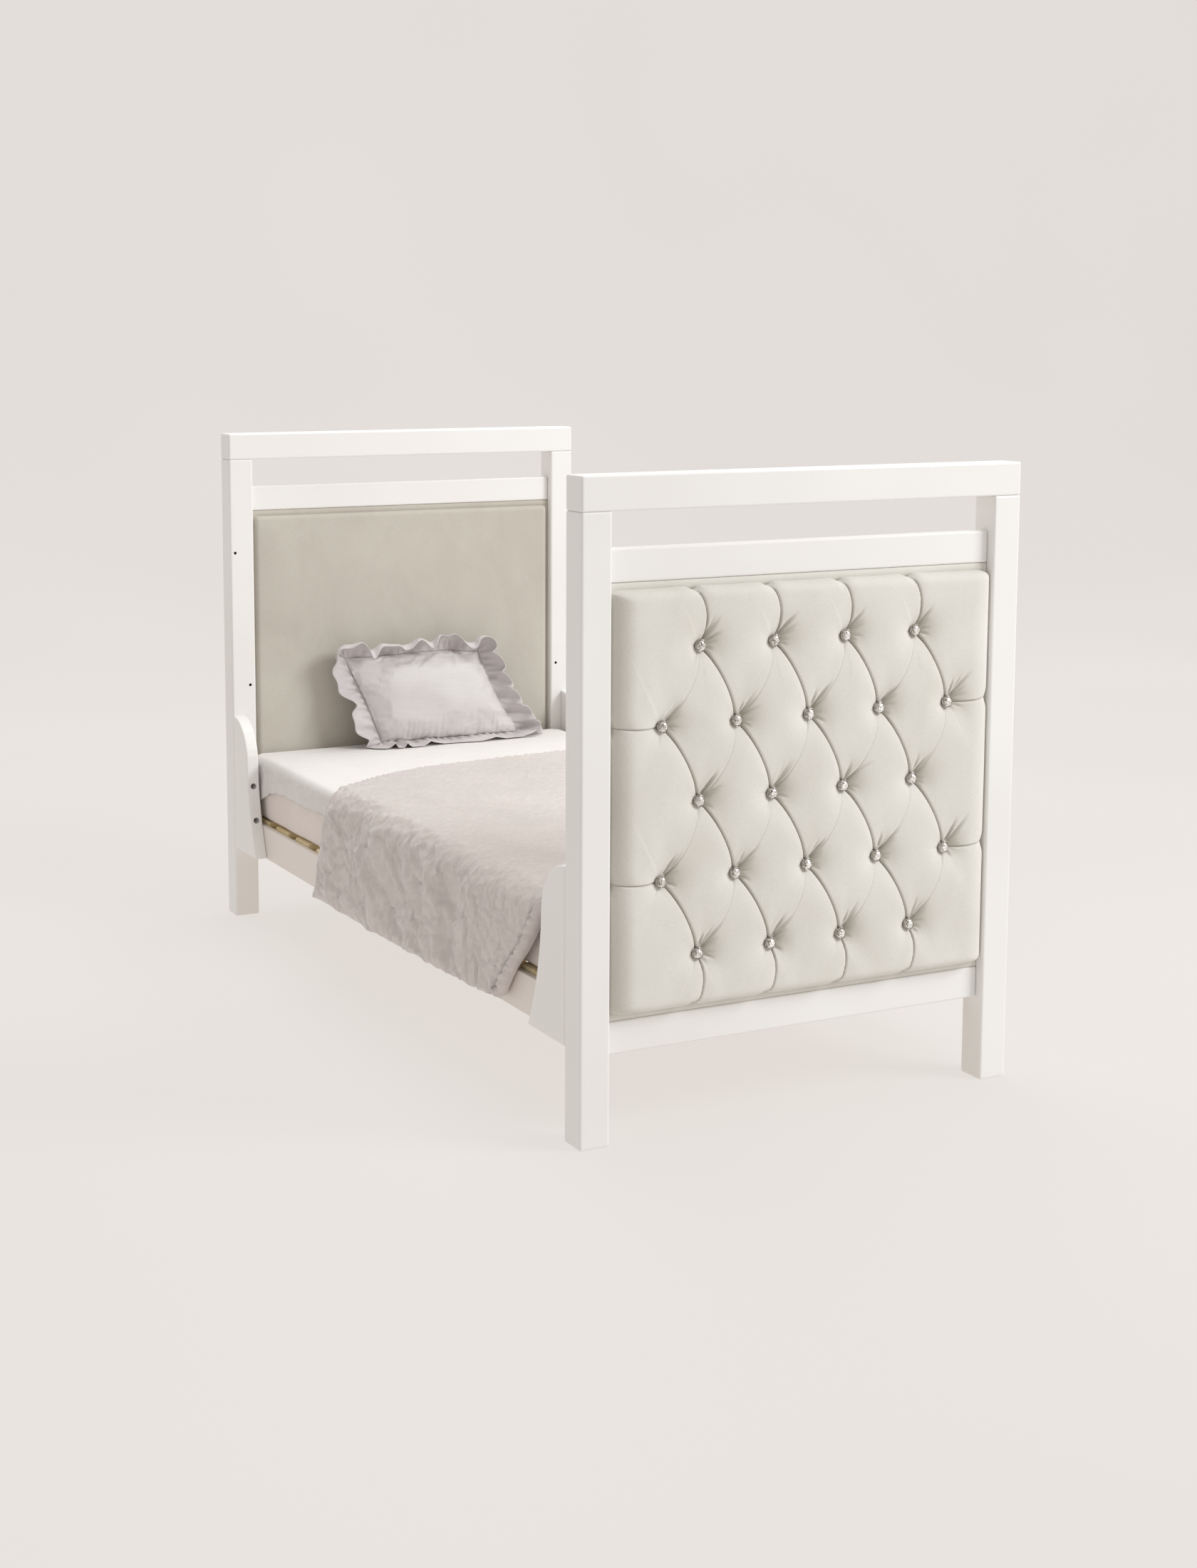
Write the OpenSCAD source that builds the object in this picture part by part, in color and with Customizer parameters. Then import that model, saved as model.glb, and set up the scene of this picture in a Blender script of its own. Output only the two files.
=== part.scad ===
// Toddler bed made from a cot: two upholstered ends of equal height, joined by low side rails on
// shaped brackets, with a slatted base, mattress, fitted sheet, duvet and a frilled pillow.
// Millimetres. Origin on the floor at the middle of the bed, +X across, +Y towards the head, +Z up.

/* [Bed] */
// Length over the posts
bed_length = 1560; // [1500:10:1700]
// Width over the posts
bed_width = 780; // [760:5:840]
// Height of both ends
bed_height = 995; // [940:5:1100]
// Side of a square post
post_side = 50; // [45:1:60]
// Height of the cap rail that lies on the post tops
cap_height = 52; // [40:1:60]
// Radius of the eased edges on painted wood
edge_radius = 3; // [1:0.5:4]

/* [End panels] */
// Thickness of the rails between the posts
end_rail_thickness = 20; // [16:1:26]
// Height of the middle and bottom rails
end_rail_height = 50; // [40:1:60]
// Height of the bottom rail above the floor
bottom_rail_z = 135; // [110:5:150]
// Open gap between the cap rail and the middle rail
slot_height = 55; // [40:1:70]
// Thickness of the board that carries the upholstery
board_thickness = 9; // [6:1:12]

/* [Upholstery] */
// Gap between the padding and the posts
pad_side_gap = 6; // [4:1:15]
// Gap between the padding and the rails above and below it
pad_end_gap = 11; // [6:1:20]
// How far the tufted padding stands past the faces of the posts
tufted_proud = 8; // [4:1:12]
// Thickness of the flat padding
flat_pad_thickness = 14; // [8:1:15]
// Distance between buttons along a row
button_pitch_x = 128; // [110:1:135]
// Distance between rows of buttons
button_pitch_z = 116; // [100:1:120]
// Rows of buttons
button_rows = 5; // [3:2:5]
// Radius of a button's metal rim
button_radius = 9.5; // [7:0.5:11]

/* [Side rails and brackets] */
// Height of a side rail's lower edge
side_rail_z = 143; // [142:1:150]
// Height of a side rail
side_rail_height = 65; // [60:1:75]
// Thickness of a side rail
side_rail_thickness = 20; // [18:1:24]
// Thickness of a bracket, which is also how far the side rails are set in
bracket_thickness = 25; // [22:1:28]
// Height of a bracket's lower edge
bracket_z = 146; // [144:1:150]
// Height of a bracket's rounded top
bracket_top = 420; // [400:5:440]
// Reach of a bracket at its shoulder
bracket_shoulder = 78; // [70:1:85]
// Reach of a bracket at its foot
bracket_reach = 122; // [110:1:130]

/* [Slatted base] */
// Number of slats
slat_count = 13; // [11:2:13]
// Width of a slat
slat_width = 70; // [50:1:72]
// Thickness of a slat
slat_thickness = 12; // [10:1:14]
// Distance between slat centres
slat_pitch = 110; // [100:1:112]

/* [Mattress] */
// Width of the mattress
mattress_width = 700; // [690:1:704]
// Length of the mattress
mattress_length = 1400; // [1380:1:1420]
// Thickness of the mattress
mattress_thickness = 120; // [100:1:130]
// Radius of the mattress edges
mattress_edge = 24; // [15:1:30]

/* [Duvet] */
// Thickness of the duvet where it lies
duvet_thickness = 28; // [20:1:32]
// Height of the hanging edge
duvet_hem_z = 137; // [130:1:160]
// Distance the hanging sides stand off the side rails
duvet_gap = 1; // [0.5:0.5:3]
// How far the duvet's left head corner stops short of the head end
duvet_short_left = 505; // [450:5:600]
// How far the duvet's right head corner stops short of the head end
duvet_short_right = 345; // [300:5:600]

/* [Pillow] */
// Width of the pillow without its frill
pillow_width = 306; // [280:1:340]
// Height of the pillow without its frill
pillow_height = 184; // [170:1:220]
// Swell of the pillow's front past its seam
pillow_front = 52; // [30:1:60]
// Swell of the pillow's back past its seam
pillow_back = 28; // [15:1:32]
// Width of the frill
frill_width = 44; // [30:1:50]
// Angle that the pillow leans back
pillow_lean = 10; // [5:1:11]

/* [Hidden] */
slat_names = [for (i = [1:slat_count]) str("slat_", i)];

half_length = bed_length / 2;
half_width = bed_width / 2;
post_height = bed_height - cap_height;
inner_half_width = half_width - post_side;
inner_half_length = half_length - post_side;
middle_rail_z = post_height - slot_height - end_rail_height;
rail_recess = (post_side - end_rail_thickness) / 2;
panel_z = bottom_rail_z + end_rail_height;
panel_height = middle_rail_z - panel_z;

board_face = (post_side - board_thickness) / 2;
pad_half_width = inner_half_width - pad_side_gap;
pad_z = panel_z + pad_end_gap;
pad_height = panel_height - 2 * pad_end_gap;
pad_edge = 10;
tufted_thickness = board_face + tufted_proud;
button_centre_z = panel_z + panel_height / 2 - 3;
button_face = 2;
button_rim_height = 5;
button_gem_radius = button_radius - 1.6;
button_gem_height = 4;
button_gem_table = button_gem_radius * 0.55;
button_shank_radius = 2;
dimple_radius = 26;
dimple_clearance = 0.5;

// The bracket's shoulder is where its round top meets the hollow flare.
bracket_shoulder_z = 335;
bracket_x = half_width - bracket_thickness / 2;
flare_steps = 8;
arc_steps = 10;
bolt_heights = [219, 287];
bolt_radius = 3;
bolt_clearance = 0.3;
bolt_head_radius = 5;
bolt_head_height = 6;
bolt_seat = 45;
bolt_in_post = 30;
bolt_counterbore_radius = 6.2;
bolt_socket_radius = 2.5;
bolt_socket_depth = 3.5;
insert_radius = 5;
insert_length = 15;
spare_hole_radius = 3;
spare_hole_depth = 14;
spare_hole_low = [inner_half_width + 12, 482];
spare_hole_high = [half_width - 10, 754];

side_rail_face = half_width - bracket_thickness;
side_rail_top = side_rail_z + side_rail_height;
rebate_width = 10;
rebate_depth = 5;
slat_z = side_rail_top - rebate_depth;
slat_top = slat_z + slat_thickness;
slat_gap = 0.5;
slat_half_length = side_rail_face - rebate_width - slat_gap;
bearer_side = 20;
bearer_length = 1400;
slat_screw_radius = 1.75;
slat_screw_length = 26;
rail_screw_radius = 2;
rail_screw_length = 34;
rail_screw_places = [[28, 165], [88, 188]];

dowel_radius = 5;
dowel_half_length = 20;
cap_dowel_offset = 10;

contact_gap = 0.4;
sheet_thickness = 1.2;
mattress_z = slat_top + contact_gap;
mattress_top = mattress_z + mattress_thickness;
mattress_shift = 15;
sheet_hem_z = mattress_z + 0.58 * mattress_thickness;
cover_z = mattress_top + sheet_thickness + contact_gap;

duvet_inner_x = side_rail_face + duvet_gap;
duvet_outer_x = duvet_inner_x + duvet_thickness;
duvet_top = cover_z + duvet_thickness;
duvet_shoulder = 45;
duvet_foot_y = -half_length + 66;
duvet_shoulder_foot_y = -half_length + 134;
duvet_hem_foot_y = -half_length + 258;
duvet_shoulder_setback = 55;
duvet_hem_reach = 25;

pillow_x = 70;
pillow_drift = 56;
pillow_y = inner_half_length - 50;
pillow_seam = 10;
pillow_crown_inset = 60;
frill_thickness = 8;

paint = [0.94, 0.93, 0.91];
velvet = [0.85, 0.84, 0.80];
velvet_shade = [0.75, 0.73, 0.69];
pine = [0.84, 0.74, 0.56];
plywood = [0.78, 0.66, 0.48];
steel = [0.35, 0.33, 0.32];
silver = [0.86, 0.87, 0.90];
cotton = [0.96, 0.95, 0.94];
lilac = [0.80, 0.77, 0.78];

// ---- Shapes ------------------------------------------------------------------------------------

// Outline moved inwards by d, point by point along the mean of its two edge normals.
function unit(v) = v / norm(v);
function inset_outline(points, d) = [
    for (i = [0:len(points) - 1])
        let (before = points[(i + len(points) - 1) % len(points)],
             after = points[(i + 1) % len(points)],
             a = unit(points[i] - before),
             b = unit(after - points[i]),
             inward = unit([-a.y - b.y, a.x + b.x]),
             stretch = 1 / max(0.5, inward * [-a.y, a.x]))
        points[i] + inward * d * stretch];

// Plate of a counter-clockwise outline, with both of its rims rounded to radius r.
module eased_plate(outline, thickness, r = edge_radius) {
    n = len(outline);
    angles = [0, 30, 60, 90];
    rims = concat(
        [for (a = angles) [r * (1 - sin(a)), r * (1 - cos(a))]],
        [for (a = [90, 60, 30, 0]) [r * (1 - sin(a)), thickness - r * (1 - cos(a))]]);
    points = [for (rim = rims) for (p = inset_outline(outline, rim[0])) [p.x, p.y, rim[1]]];
    last = (len(rims) - 1) * n;
    walls = [for (k = [0:len(rims) - 2], i = [0:n - 1])
        let (j = (i + 1) % n)
        [k * n + i, (k + 1) * n + i, (k + 1) * n + j, k * n + j]];
    polyhedron(points,
        concat([[for (i = [0:n - 1]) i]], walls, [[for (i = [n - 1:-1:0]) last + i]]));
}

// Rounded rectangle from the origin, counter-clockwise, each corner drawn in 30 degree steps.
function rounded_rectangle(size, r) = [
    for (corner = [[size.x - r, r, -90], [size.x - r, size.y - r, 0], [r, size.y - r, 90], [r, r, 180]],
         step = [0:30:90])
        [corner[0] + r * cos(corner[2] + step), corner[1] + r * sin(corner[2] + step)]];

// Box from corner "at" with every edge eased. Its plan corners are a little rounder than its rims.
module eased_box(at, size, r = edge_radius) {
    translate(at)
        eased_plate(rounded_rectangle(size, 1.25 * r), size.z, r);
}

// Children drawn for the foot as they stand, and for the head turned half round.
module at_head() {
    rotate([0, 0, 180])
        children();
}

// Children once at x and once mirrored to -x.
module both_sides() {
    children();
    mirror([1, 0, 0])
        children();
}

// ---- End panels, drawn at the foot with the outer face towards -Y ---------------------------------

module post(side, high_spare_hole) {
    x0 = side > 0 ? inner_half_width : -half_width;
    inner_face = -inner_half_length;
    color(paint)
        difference() {
            eased_box([x0, -half_length, 0], [post_side, post_side, post_height]);
            for (z = bolt_heights)
                translate([side * bracket_x, inner_face, z])
                    rotate([90, 0, 0]) {
                        translate([0, 0, -1])
                            cylinder(r = insert_radius, h = insert_length + 1, $fn = 48);
                        cylinder(r = bolt_radius + bolt_clearance, h = bolt_in_post + 5, $fn = 48);
                    }
            spare_hole(side, spare_hole_low);
            if (high_spare_hole)
                spare_hole(side, spare_hole_high);
        }
}

module spare_hole(side, place) {
    translate([side * place[0], -inner_half_length + 1, place[1]])
        rotate([90, 0, 0])
            cylinder(r = spare_hole_radius, h = spare_hole_depth + 1, $fn = 32);
}

module cap_rail() {
    color(paint)
        eased_box([-half_width, -half_length, post_height], [bed_width, post_side, cap_height]);
}

module end_rail(z) {
    color(paint)
        eased_box([-inner_half_width, -half_length + rail_recess, z],
            [2 * inner_half_width, end_rail_thickness, end_rail_height]);
}

module board() {
    color(plywood)
        translate([-inner_half_width, -half_length + board_face, panel_z])
            cube([2 * inner_half_width, board_thickness, panel_height]);
}

module tufted_pad() {
    color(velvet)
        difference() {
            eased_box([-pad_half_width, -half_length - tufted_proud, pad_z],
                [2 * pad_half_width, tufted_thickness, pad_height], pad_edge);
            at_buttons()
                dimple();
        }
}

// Cone-shaped hollow that a button sits in, with a hole for its shank.
module dimple() {
    depth = button_face + tufted_proud;
    translate([0, 0, -dimple_clearance])
        cylinder(r1 = button_radius + dimple_clearance, r2 = dimple_radius,
            h = depth + 2 * dimple_clearance, $fn = 48);
    translate([0, 0, -board_face])
        cylinder(r = button_shank_radius + dimple_clearance, h = board_face, $fn = 24);
}

module flat_pad() {
    color(velvet_shade)
        eased_box([-pad_half_width, -half_length + board_face + board_thickness, pad_z],
            [2 * pad_half_width, flat_pad_thickness, pad_height], edge_radius);
}

// Rows hold four and five buttons in turn, the longer rows set half a pitch out.
function buttons_in_row(row) = row % 2 == 0 ? 4 : 5;
function button_places() = [
    for (row = [0:button_rows - 1], i = [0:buttons_in_row(row) - 1])
        [(i - (buttons_in_row(row) - 1) / 2) * button_pitch_x,
         button_centre_z + (row - (button_rows - 1) / 2) * button_pitch_z]];

// Crystal button: a stepped gem in a metal cup on a short shank that reaches the board.
module button() {
    shank = board_face - button_face;
    translate([0, 0, -shank])
        cylinder(r = button_shank_radius, h = shank, $fn = 24);
    cylinder(r = button_radius, h = button_rim_height - 2, $fn = 48);
    translate([0, 0, button_rim_height - 2])
        cylinder(r = button_gem_radius, h = 2, $fn = 48);
    translate([0, 0, button_rim_height])
        cylinder(r = button_gem_table, h = button_gem_height - 2, $fn = 48);
}

// Children at every button, with their +Z facing out of the foot end.
module at_buttons() {
    for (place = button_places())
        translate([place[0], -half_length + button_face, place[1]])
            rotate([90, 0, 0])
                children();
}

module buttons() {
    color(silver)
        at_buttons()
            button();
}

// Wooden dowels: two in each rail end, one in the top of each post.
module dowels() {
    color(pine)
        both_sides() {
            for (z = [bottom_rail_z, middle_rail_z], dz = [0.28, 0.72])
                translate([inner_half_width - dowel_half_length, -inner_half_length - post_side / 2,
                        z + dz * end_rail_height])
                    rotate([0, 90, 0])
                        cylinder(r = dowel_radius, h = 2 * dowel_half_length, $fn = 24);
            translate([inner_half_width + post_side / 2 - cap_dowel_offset,
                    -inner_half_length - post_side / 2, post_height - dowel_half_length])
                cylinder(r = dowel_radius, h = 2 * dowel_half_length, $fn = 24);
        }
}

// ---- Side rails, brackets and slats -----------------------------------------------------------------

module side_rail(side) {
    x0 = side > 0 ? side_rail_face - side_rail_thickness : -side_rail_face;
    rebate_x = side > 0 ? x0 - 1 : x0 + side_rail_thickness - rebate_width;
    color(paint)
        difference() {
            eased_box([x0, -inner_half_length, side_rail_z],
                [side_rail_thickness, 2 * inner_half_length, side_rail_height], 2);
            translate([rebate_x, -inner_half_length - 1, slat_z])
                cube([rebate_width + 1, 2 * inner_half_length + 2, rebate_depth + 1]);
        }
}

module bearer(side) {
    inner = side_rail_face - side_rail_thickness;
    x0 = side > 0 ? inner - bearer_side : -inner;
    color(pine)
        translate([x0, -bearer_length / 2, slat_z - bearer_side])
            cube([bearer_side, bearer_length, bearer_side]);
}

// Half outline of a bracket: reach from the post against height.
function flare(z) =
    bracket_shoulder + (bracket_reach - bracket_shoulder)
        * pow((bracket_shoulder_z - z) / (bracket_shoulder_z - bracket_z), 1.9);
function bracket_outline() = concat(
    [[0, bracket_z], [bracket_reach, bracket_z]],
    [for (i = [1:flare_steps])
        let (z = bracket_z + (bracket_shoulder_z - bracket_z) * i / flare_steps)
        [flare(z), z]],
    [for (i = [1:arc_steps])
        let (a = 90 * i / arc_steps)
        [bracket_shoulder * cos(a), bracket_shoulder_z + (bracket_top - bracket_shoulder_z) * sin(a)]]);

// Bracket of the foot's right-hand corner, against the post's inner face and flush with its side.
module foot_bracket() {
    color(paint)
        difference() {
            translate([half_width - bracket_thickness, -inner_half_length, 0])
                rotate([90, 0, 90])
                    eased_plate(bracket_outline(), bracket_thickness);
            for (z = bolt_heights)
                translate([bracket_x, -inner_half_length, z])
                    rotate([-90, 0, 0]) {
                        translate([0, 0, -1])
                            cylinder(r = bolt_radius + bolt_clearance, h = bolt_seat + 2, $fn = 48);
                        translate([0, 0, bolt_seat])
                            cylinder(r = bolt_counterbore_radius, h = bracket_reach, $fn = 48);
                    }
        }
}

module bracket(side, end) {
    mirror([side > 0 ? 0 : 1, 0, 0])
        mirror([0, end > 0 ? 1 : 0, 0])
            foot_bracket();
}

// Children for each of the four bracket corners, as drawn for the foot's right-hand one.
module four_corners() {
    for (x = [0, 1], y = [0, 1])
        mirror([x, 0, 0])
            mirror([0, y, 0])
                children();
}

module bracket_bolts() {
    color(steel)
        four_corners()
            for (z = bolt_heights)
                translate([bracket_x, -inner_half_length, z])
                    rotate([-90, 0, 0])
                        bolt();
}

module bolt() {
    difference() {
        union() {
            translate([0, 0, -bolt_in_post])
                cylinder(r = bolt_radius, h = bolt_in_post + bolt_seat, $fn = 48);
            translate([0, 0, bolt_seat])
                cylinder(r = bolt_head_radius, h = bolt_head_height, $fn = 48);
        }
        translate([0, 0, bolt_seat + bolt_head_height - bolt_socket_depth])
            cylinder(r = bolt_socket_radius, h = bolt_socket_depth + 1, $fn = 6);
    }
}

module threaded_inserts() {
    color(steel)
        four_corners()
            for (z = bolt_heights)
                translate([bracket_x, -inner_half_length, z])
                    rotate([90, 0, 0])
                        difference() {
                            cylinder(r = insert_radius, h = insert_length, $fn = 48);
                            translate([0, 0, -1])
                                cylinder(r = bolt_radius + 0.05, h = insert_length + 2, $fn = 48);
                        }
}

// Screws from inside each side rail into its brackets.
module rail_screws() {
    color(steel)
        four_corners()
            for (place = rail_screw_places)
                translate([side_rail_face - side_rail_thickness + 0.5,
                        -inner_half_length + place[0], place[1]])
                    rotate([0, 90, 0])
                        screw(rail_screw_radius, rail_screw_length);
}

// One screw through each end of each slat into the bearer.
module slat_screws() {
    color(steel)
        both_sides()
            for (i = [1:slat_count])
                translate([side_rail_face - side_rail_thickness - bearer_side / 2, slat_y(i), slat_top])
                    rotate([180, 0, 0])
                        screw(slat_screw_radius, slat_screw_length);
}

// Screw along +Z with its countersunk head flush at z = 0.
module screw(radius, length) {
    cylinder(r1 = 2 * radius, r2 = radius, h = radius, $fn = 32);
    cylinder(r = radius, h = length, $fn = 32);
}

function slat_y(i) = (i - (slat_count + 1) / 2) * slat_pitch;

module slat(i) {
    color(pine)
        eased_box([-slat_half_length, slat_y(i) - slat_width / 2, slat_z],
            [2 * slat_half_length, slat_width, slat_thickness], 2);
}

// ---- Bedding ------------------------------------------------------------------------------------

module mattress_shape(grow) {
    eased_box([-mattress_width / 2 - grow, -mattress_length / 2 + mattress_shift - grow, mattress_z - grow],
        [mattress_width + 2 * grow, mattress_length + 2 * grow, mattress_thickness + 2 * grow],
        mattress_edge + grow);
}

module mattress() {
    color(cotton)
        mattress_shape(0);
}

// Thin cover over the top and the upper part of the sides.
module fitted_sheet() {
    color(cotton)
        difference() {
            mattress_shape(sheet_thickness);
            mattress_shape(0);
            translate([-bed_width, -bed_length, mattress_z - 10])
                cube([2 * bed_width, 2 * bed_length, sheet_hem_z - mattress_z + 10]);
        }
}

// Head corner of the duvet's slab on one side of the bed.
function duvet_head_y(side) = half_length - (side < 0 ? duvet_short_left : duvet_short_right);

// Duvet: a slab over the mattress, a round shoulder and a hanging side on each edge.
module duvet() {
    color(lilac) {
        duvet_slab();
        for (side = [-1, 1])
            mirror([side < 0 ? 1 : 0, 0, 0]) {
                duvet_shoulder_strip(duvet_head_y(side) - duvet_shoulder_setback);
                duvet_side(duvet_head_y(side));
            }
    }
}

module duvet_slab() {
    edge = duvet_outer_x - duvet_shoulder;
    translate([0, 0, cover_z])
        linear_extrude(duvet_thickness)
            polygon([
                [-edge, duvet_foot_y], [edge, duvet_foot_y],
                [edge, duvet_head_y(1)], [-edge, duvet_head_y(-1)]]);
}

module duvet_shoulder_strip(head_y) {
    centre = [duvet_outer_x - duvet_shoulder, duvet_top - duvet_shoulder];
    translate([0, head_y, 0])
        rotate([90, 0, 0])
            linear_extrude(head_y - duvet_shoulder_foot_y)
                intersection() {
                    translate(centre)
                        difference() {
                            circle(r = duvet_shoulder, $fn = 64);
                            circle(r = duvet_shoulder - duvet_thickness, $fn = 64);
                        }
                    translate(centre)
                        square(duvet_shoulder);
                }
}

module duvet_side(head_y) {
    top = duvet_top - duvet_shoulder;
    translate([duvet_inner_x, 0, 0])
        rotate([90, 0, 90])
            linear_extrude(duvet_thickness)
                polygon([
                    [duvet_shoulder_foot_y, top], [duvet_shoulder_foot_y + 24, 250],
                    [duvet_hem_foot_y, duvet_hem_z + 16], [head_y + duvet_hem_reach, duvet_hem_z],
                    [head_y - duvet_shoulder_setback, top]]);
}

// Pillow outline, slumped sideways as it stands: x across, y up the pillow.
function pillow_outline(grow) = [
    [-pillow_width / 2 - grow, 0], [pillow_width / 2 + grow, 0],
    [pillow_width / 2 + grow - pillow_drift, pillow_height + grow],
    [-pillow_width / 2 - grow - pillow_drift, pillow_height + grow]];

module lean_pillow() {
    translate([pillow_x, pillow_y, cover_z + pillow_seam])
        rotate([90 - pillow_lean, 0, 0])
            children();
}

module pillow() {
    color(lilac)
        lean_pillow()
            hull() {
                translate([0, 0, -pillow_seam / 2])
                    linear_extrude(pillow_seam)
                        polygon(pillow_outline(0));
                translate([0, 0, -pillow_back])
                    linear_extrude(pillow_front + pillow_back)
                        polygon(inset_outline(pillow_outline(0), pillow_crown_inset));
            }
}

// Frill sewn round the pillow's seam. Along the bottom it lies forward on the mattress.
module pillow_frill() {
    color(lilac) {
        lean_pillow()
            translate([0, 0, -frill_thickness / 2])
                linear_extrude(frill_thickness)
                    difference() {
                        polygon(pillow_outline(frill_width));
                        polygon(pillow_outline(0));
                    }
        translate([pillow_x - pillow_width / 2, pillow_y - frill_width, cover_z])
            cube([pillow_width, frill_width, frill_thickness]);
    }
}

// ---- Nodes --------------------------------------------------------------------------------------

post(-1, false);  // foot_post_left
post(1, true);  // foot_post_right
cap_rail();  // foot_cap_rail
end_rail(middle_rail_z);  // foot_middle_rail
end_rail(bottom_rail_z);  // foot_bottom_rail
board();  // foot_board
tufted_pad();  // foot_tufted_pad
flat_pad();  // foot_flat_pad
buttons();  // foot_buttons
dowels();  // foot_dowels
at_head() post(1, true);  // head_post_left
at_head() post(-1, false);  // head_post_right
at_head() cap_rail();  // head_cap_rail
at_head() end_rail(middle_rail_z);  // head_middle_rail
at_head() end_rail(bottom_rail_z);  // head_bottom_rail
at_head() board();  // head_board
at_head() tufted_pad();  // head_tufted_pad
at_head() flat_pad();  // head_flat_pad
at_head() buttons();  // head_buttons
at_head() dowels();  // head_dowels
side_rail(-1);  // side_rail_left
side_rail(1);  // side_rail_right
bearer(-1);  // bearer_left
bearer(1);  // bearer_right
bracket(-1, -1);  // bracket_foot_left
bracket(1, -1);  // bracket_foot_right
bracket(-1, 1);  // bracket_head_left
bracket(1, 1);  // bracket_head_right
bracket_bolts();
threaded_inserts();
rail_screws();
slat_screws();
for (i = [1:slat_count])
    slat(i);
mattress();
fitted_sheet();
duvet();
pillow();
pillow_frill();
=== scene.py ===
"""Looks of the toddler bed: padding, buttons, bedding, finishes, light and camera."""

import math

import bpy
import numpy as np
from mathutils import Matrix, Vector


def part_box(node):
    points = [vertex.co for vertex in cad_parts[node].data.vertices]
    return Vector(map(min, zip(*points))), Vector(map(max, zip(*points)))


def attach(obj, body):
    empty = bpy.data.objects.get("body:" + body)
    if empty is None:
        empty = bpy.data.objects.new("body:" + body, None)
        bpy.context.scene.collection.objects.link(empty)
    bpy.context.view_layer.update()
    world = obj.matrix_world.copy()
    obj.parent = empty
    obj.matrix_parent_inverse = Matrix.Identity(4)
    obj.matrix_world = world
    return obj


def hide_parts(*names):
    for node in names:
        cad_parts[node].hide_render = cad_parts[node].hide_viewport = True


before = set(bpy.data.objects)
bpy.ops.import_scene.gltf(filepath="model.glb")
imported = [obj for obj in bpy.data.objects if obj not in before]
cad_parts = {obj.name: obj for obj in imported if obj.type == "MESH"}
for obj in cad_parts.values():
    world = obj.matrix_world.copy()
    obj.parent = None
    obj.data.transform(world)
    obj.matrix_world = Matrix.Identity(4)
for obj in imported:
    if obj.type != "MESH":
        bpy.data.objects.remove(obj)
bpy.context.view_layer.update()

MM = 0.001
TAU = 2 * math.pi

# ---- Numbers ----

# Tufted pad: button pitch, depth of a button's hollow, height above the board, widths of the rounded
# top and side edges, bulge of the sides, mesh size, and the gap that a pad's back keeps to its board.
BUTTON_PITCH_X = 0.128
BUTTON_PITCH_Z = 0.116
BUTTON_ROWS = 5
BUTTON_DEPTH = 0.0115
PAD_PEAK = 0.0300
PAD_EDGE = 0.021
PAD_SIDE_EDGE = 0.046
PAD_SIDE_SWELL = 0.0048
PAD_GRID = 0.0018
PAD_BACK_GAP = 0.0002
# Bow and sharpness of the pleats that run down to the right and down to the left.
RIGHT_PLEAT = (0.0085, 1.0)
LEFT_PLEAT = (0.0125, 0.4)
# How sharply hollows and pleats blend, depth of a pleat's crisp line, and the painted shade at the left
# edge.
BLEND_POWER = 2.6
GROOVE_DEPTH = 3.6 * MM
EDGE_SHADE = 0.42
# Each button is turned this much further than the one before, in radians.
BUTTON_TURN = 0.7
CLAWS = 8
CLAW_RADIUS = 0.0083
# Rounded edge of the flat pads, and width of the border strips at the sides and at top and bottom.
FLAT_EDGE = 0.009
BORDER_INSET = np.array([0.010, 0.016])
# Peg holes in the head posts' inner faces: (x, z).
HEAD_HOLES = [(-0.352, 0.482), (0.352, 0.482), (-0.380, 0.754)]

# Mattress: edge rounding, rise of the uncovered top, swell at the head end, and what it is smaller by
# than its CAD box. Then the gap between mattress and sheet, and the sheet itself.
MATTRESS_RADIUS = 0.016
MATTRESS_CROWN = 0.0035
MATTRESS_HEAD_SWELL = 0.009
MATTRESS_SHRINK = 0.0015
SHEET_GAP = 0.0012
SHEET_THICKNESS = 0.0012
SHEET_HEM_Z = 0.286

DUVET_THICKNESS = 0.027
DUVET_SHOULDER = 0.045
DUVET_GRID = 0.0062
DUVET_ROUNDING = 0.015
# Distance of the seam from the foot edge, and the stretch of y where folds fade towards the foot end.
SEAM_INSET = 0.017
FADE_Y = (-0.56, -0.30)

PILLOW_WIDTH = 0.306
PILLOW_HEIGHT = 0.184
PILLOW_PUFF = 0.035
PILLOW_BACK_PUFF = 0.026
# How strongly the pillow's mesh is drawn together at its seam, from 0 to 1.
GRADING = 0.88
# How far the pillow's top leans to the left of its bottom, how far it leans back, and its bottom middle.
PILLOW_DRIFT = 0.070
PILLOW_LEAN = math.radians(10)
PILLOW_ORIGIN = np.array([0.070, 0.680, 0.348])
FRILL_WIDTH = 0.056
FRILL_THICKNESS = 0.0014
CORNER_STEPS = 16
# The frill stays in front of this y, where the head end's flat pad begins.
FRILL_REAR = 0.7285

# Sine waves in value_noise; frames of a cloth simulation, and the steps its hold is rounded to.
NOISE_WAVES = 14
CLOTH_FRAMES = 16
HOLD_LEVELS = 20

WHITE = (1, 1, 1, 1)

# Painted shade: a velvet face that turns this way is painted darker, as shade falls in the hollows and at
# the left edge.
SHADE_DIRECTION = (-0.93, 0, -0.37)

BACKDROP_GLOW = 1.0
WORLD_STRENGTH = 0.54
WORLD_COLOUR = (0.95, 0.910, 0.88, 1)
KEY_POWER = 185
TOP_POWER = 85

# The camera that the photo's edges and corners give: place, turns in degrees, lens in mm, shift.
CAMERA_PLACE = (-1.8902, -3.5925, 1.1949)
CAMERA_AZIMUTH = -26.10
CAMERA_ELEVATION = 7.43
CAMERA_ROLL = -0.06
CAMERA_LENS = 51.69
CAMERA_SHIFT = (0.06, -0.10)


# ---- Mesh helpers ----

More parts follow.
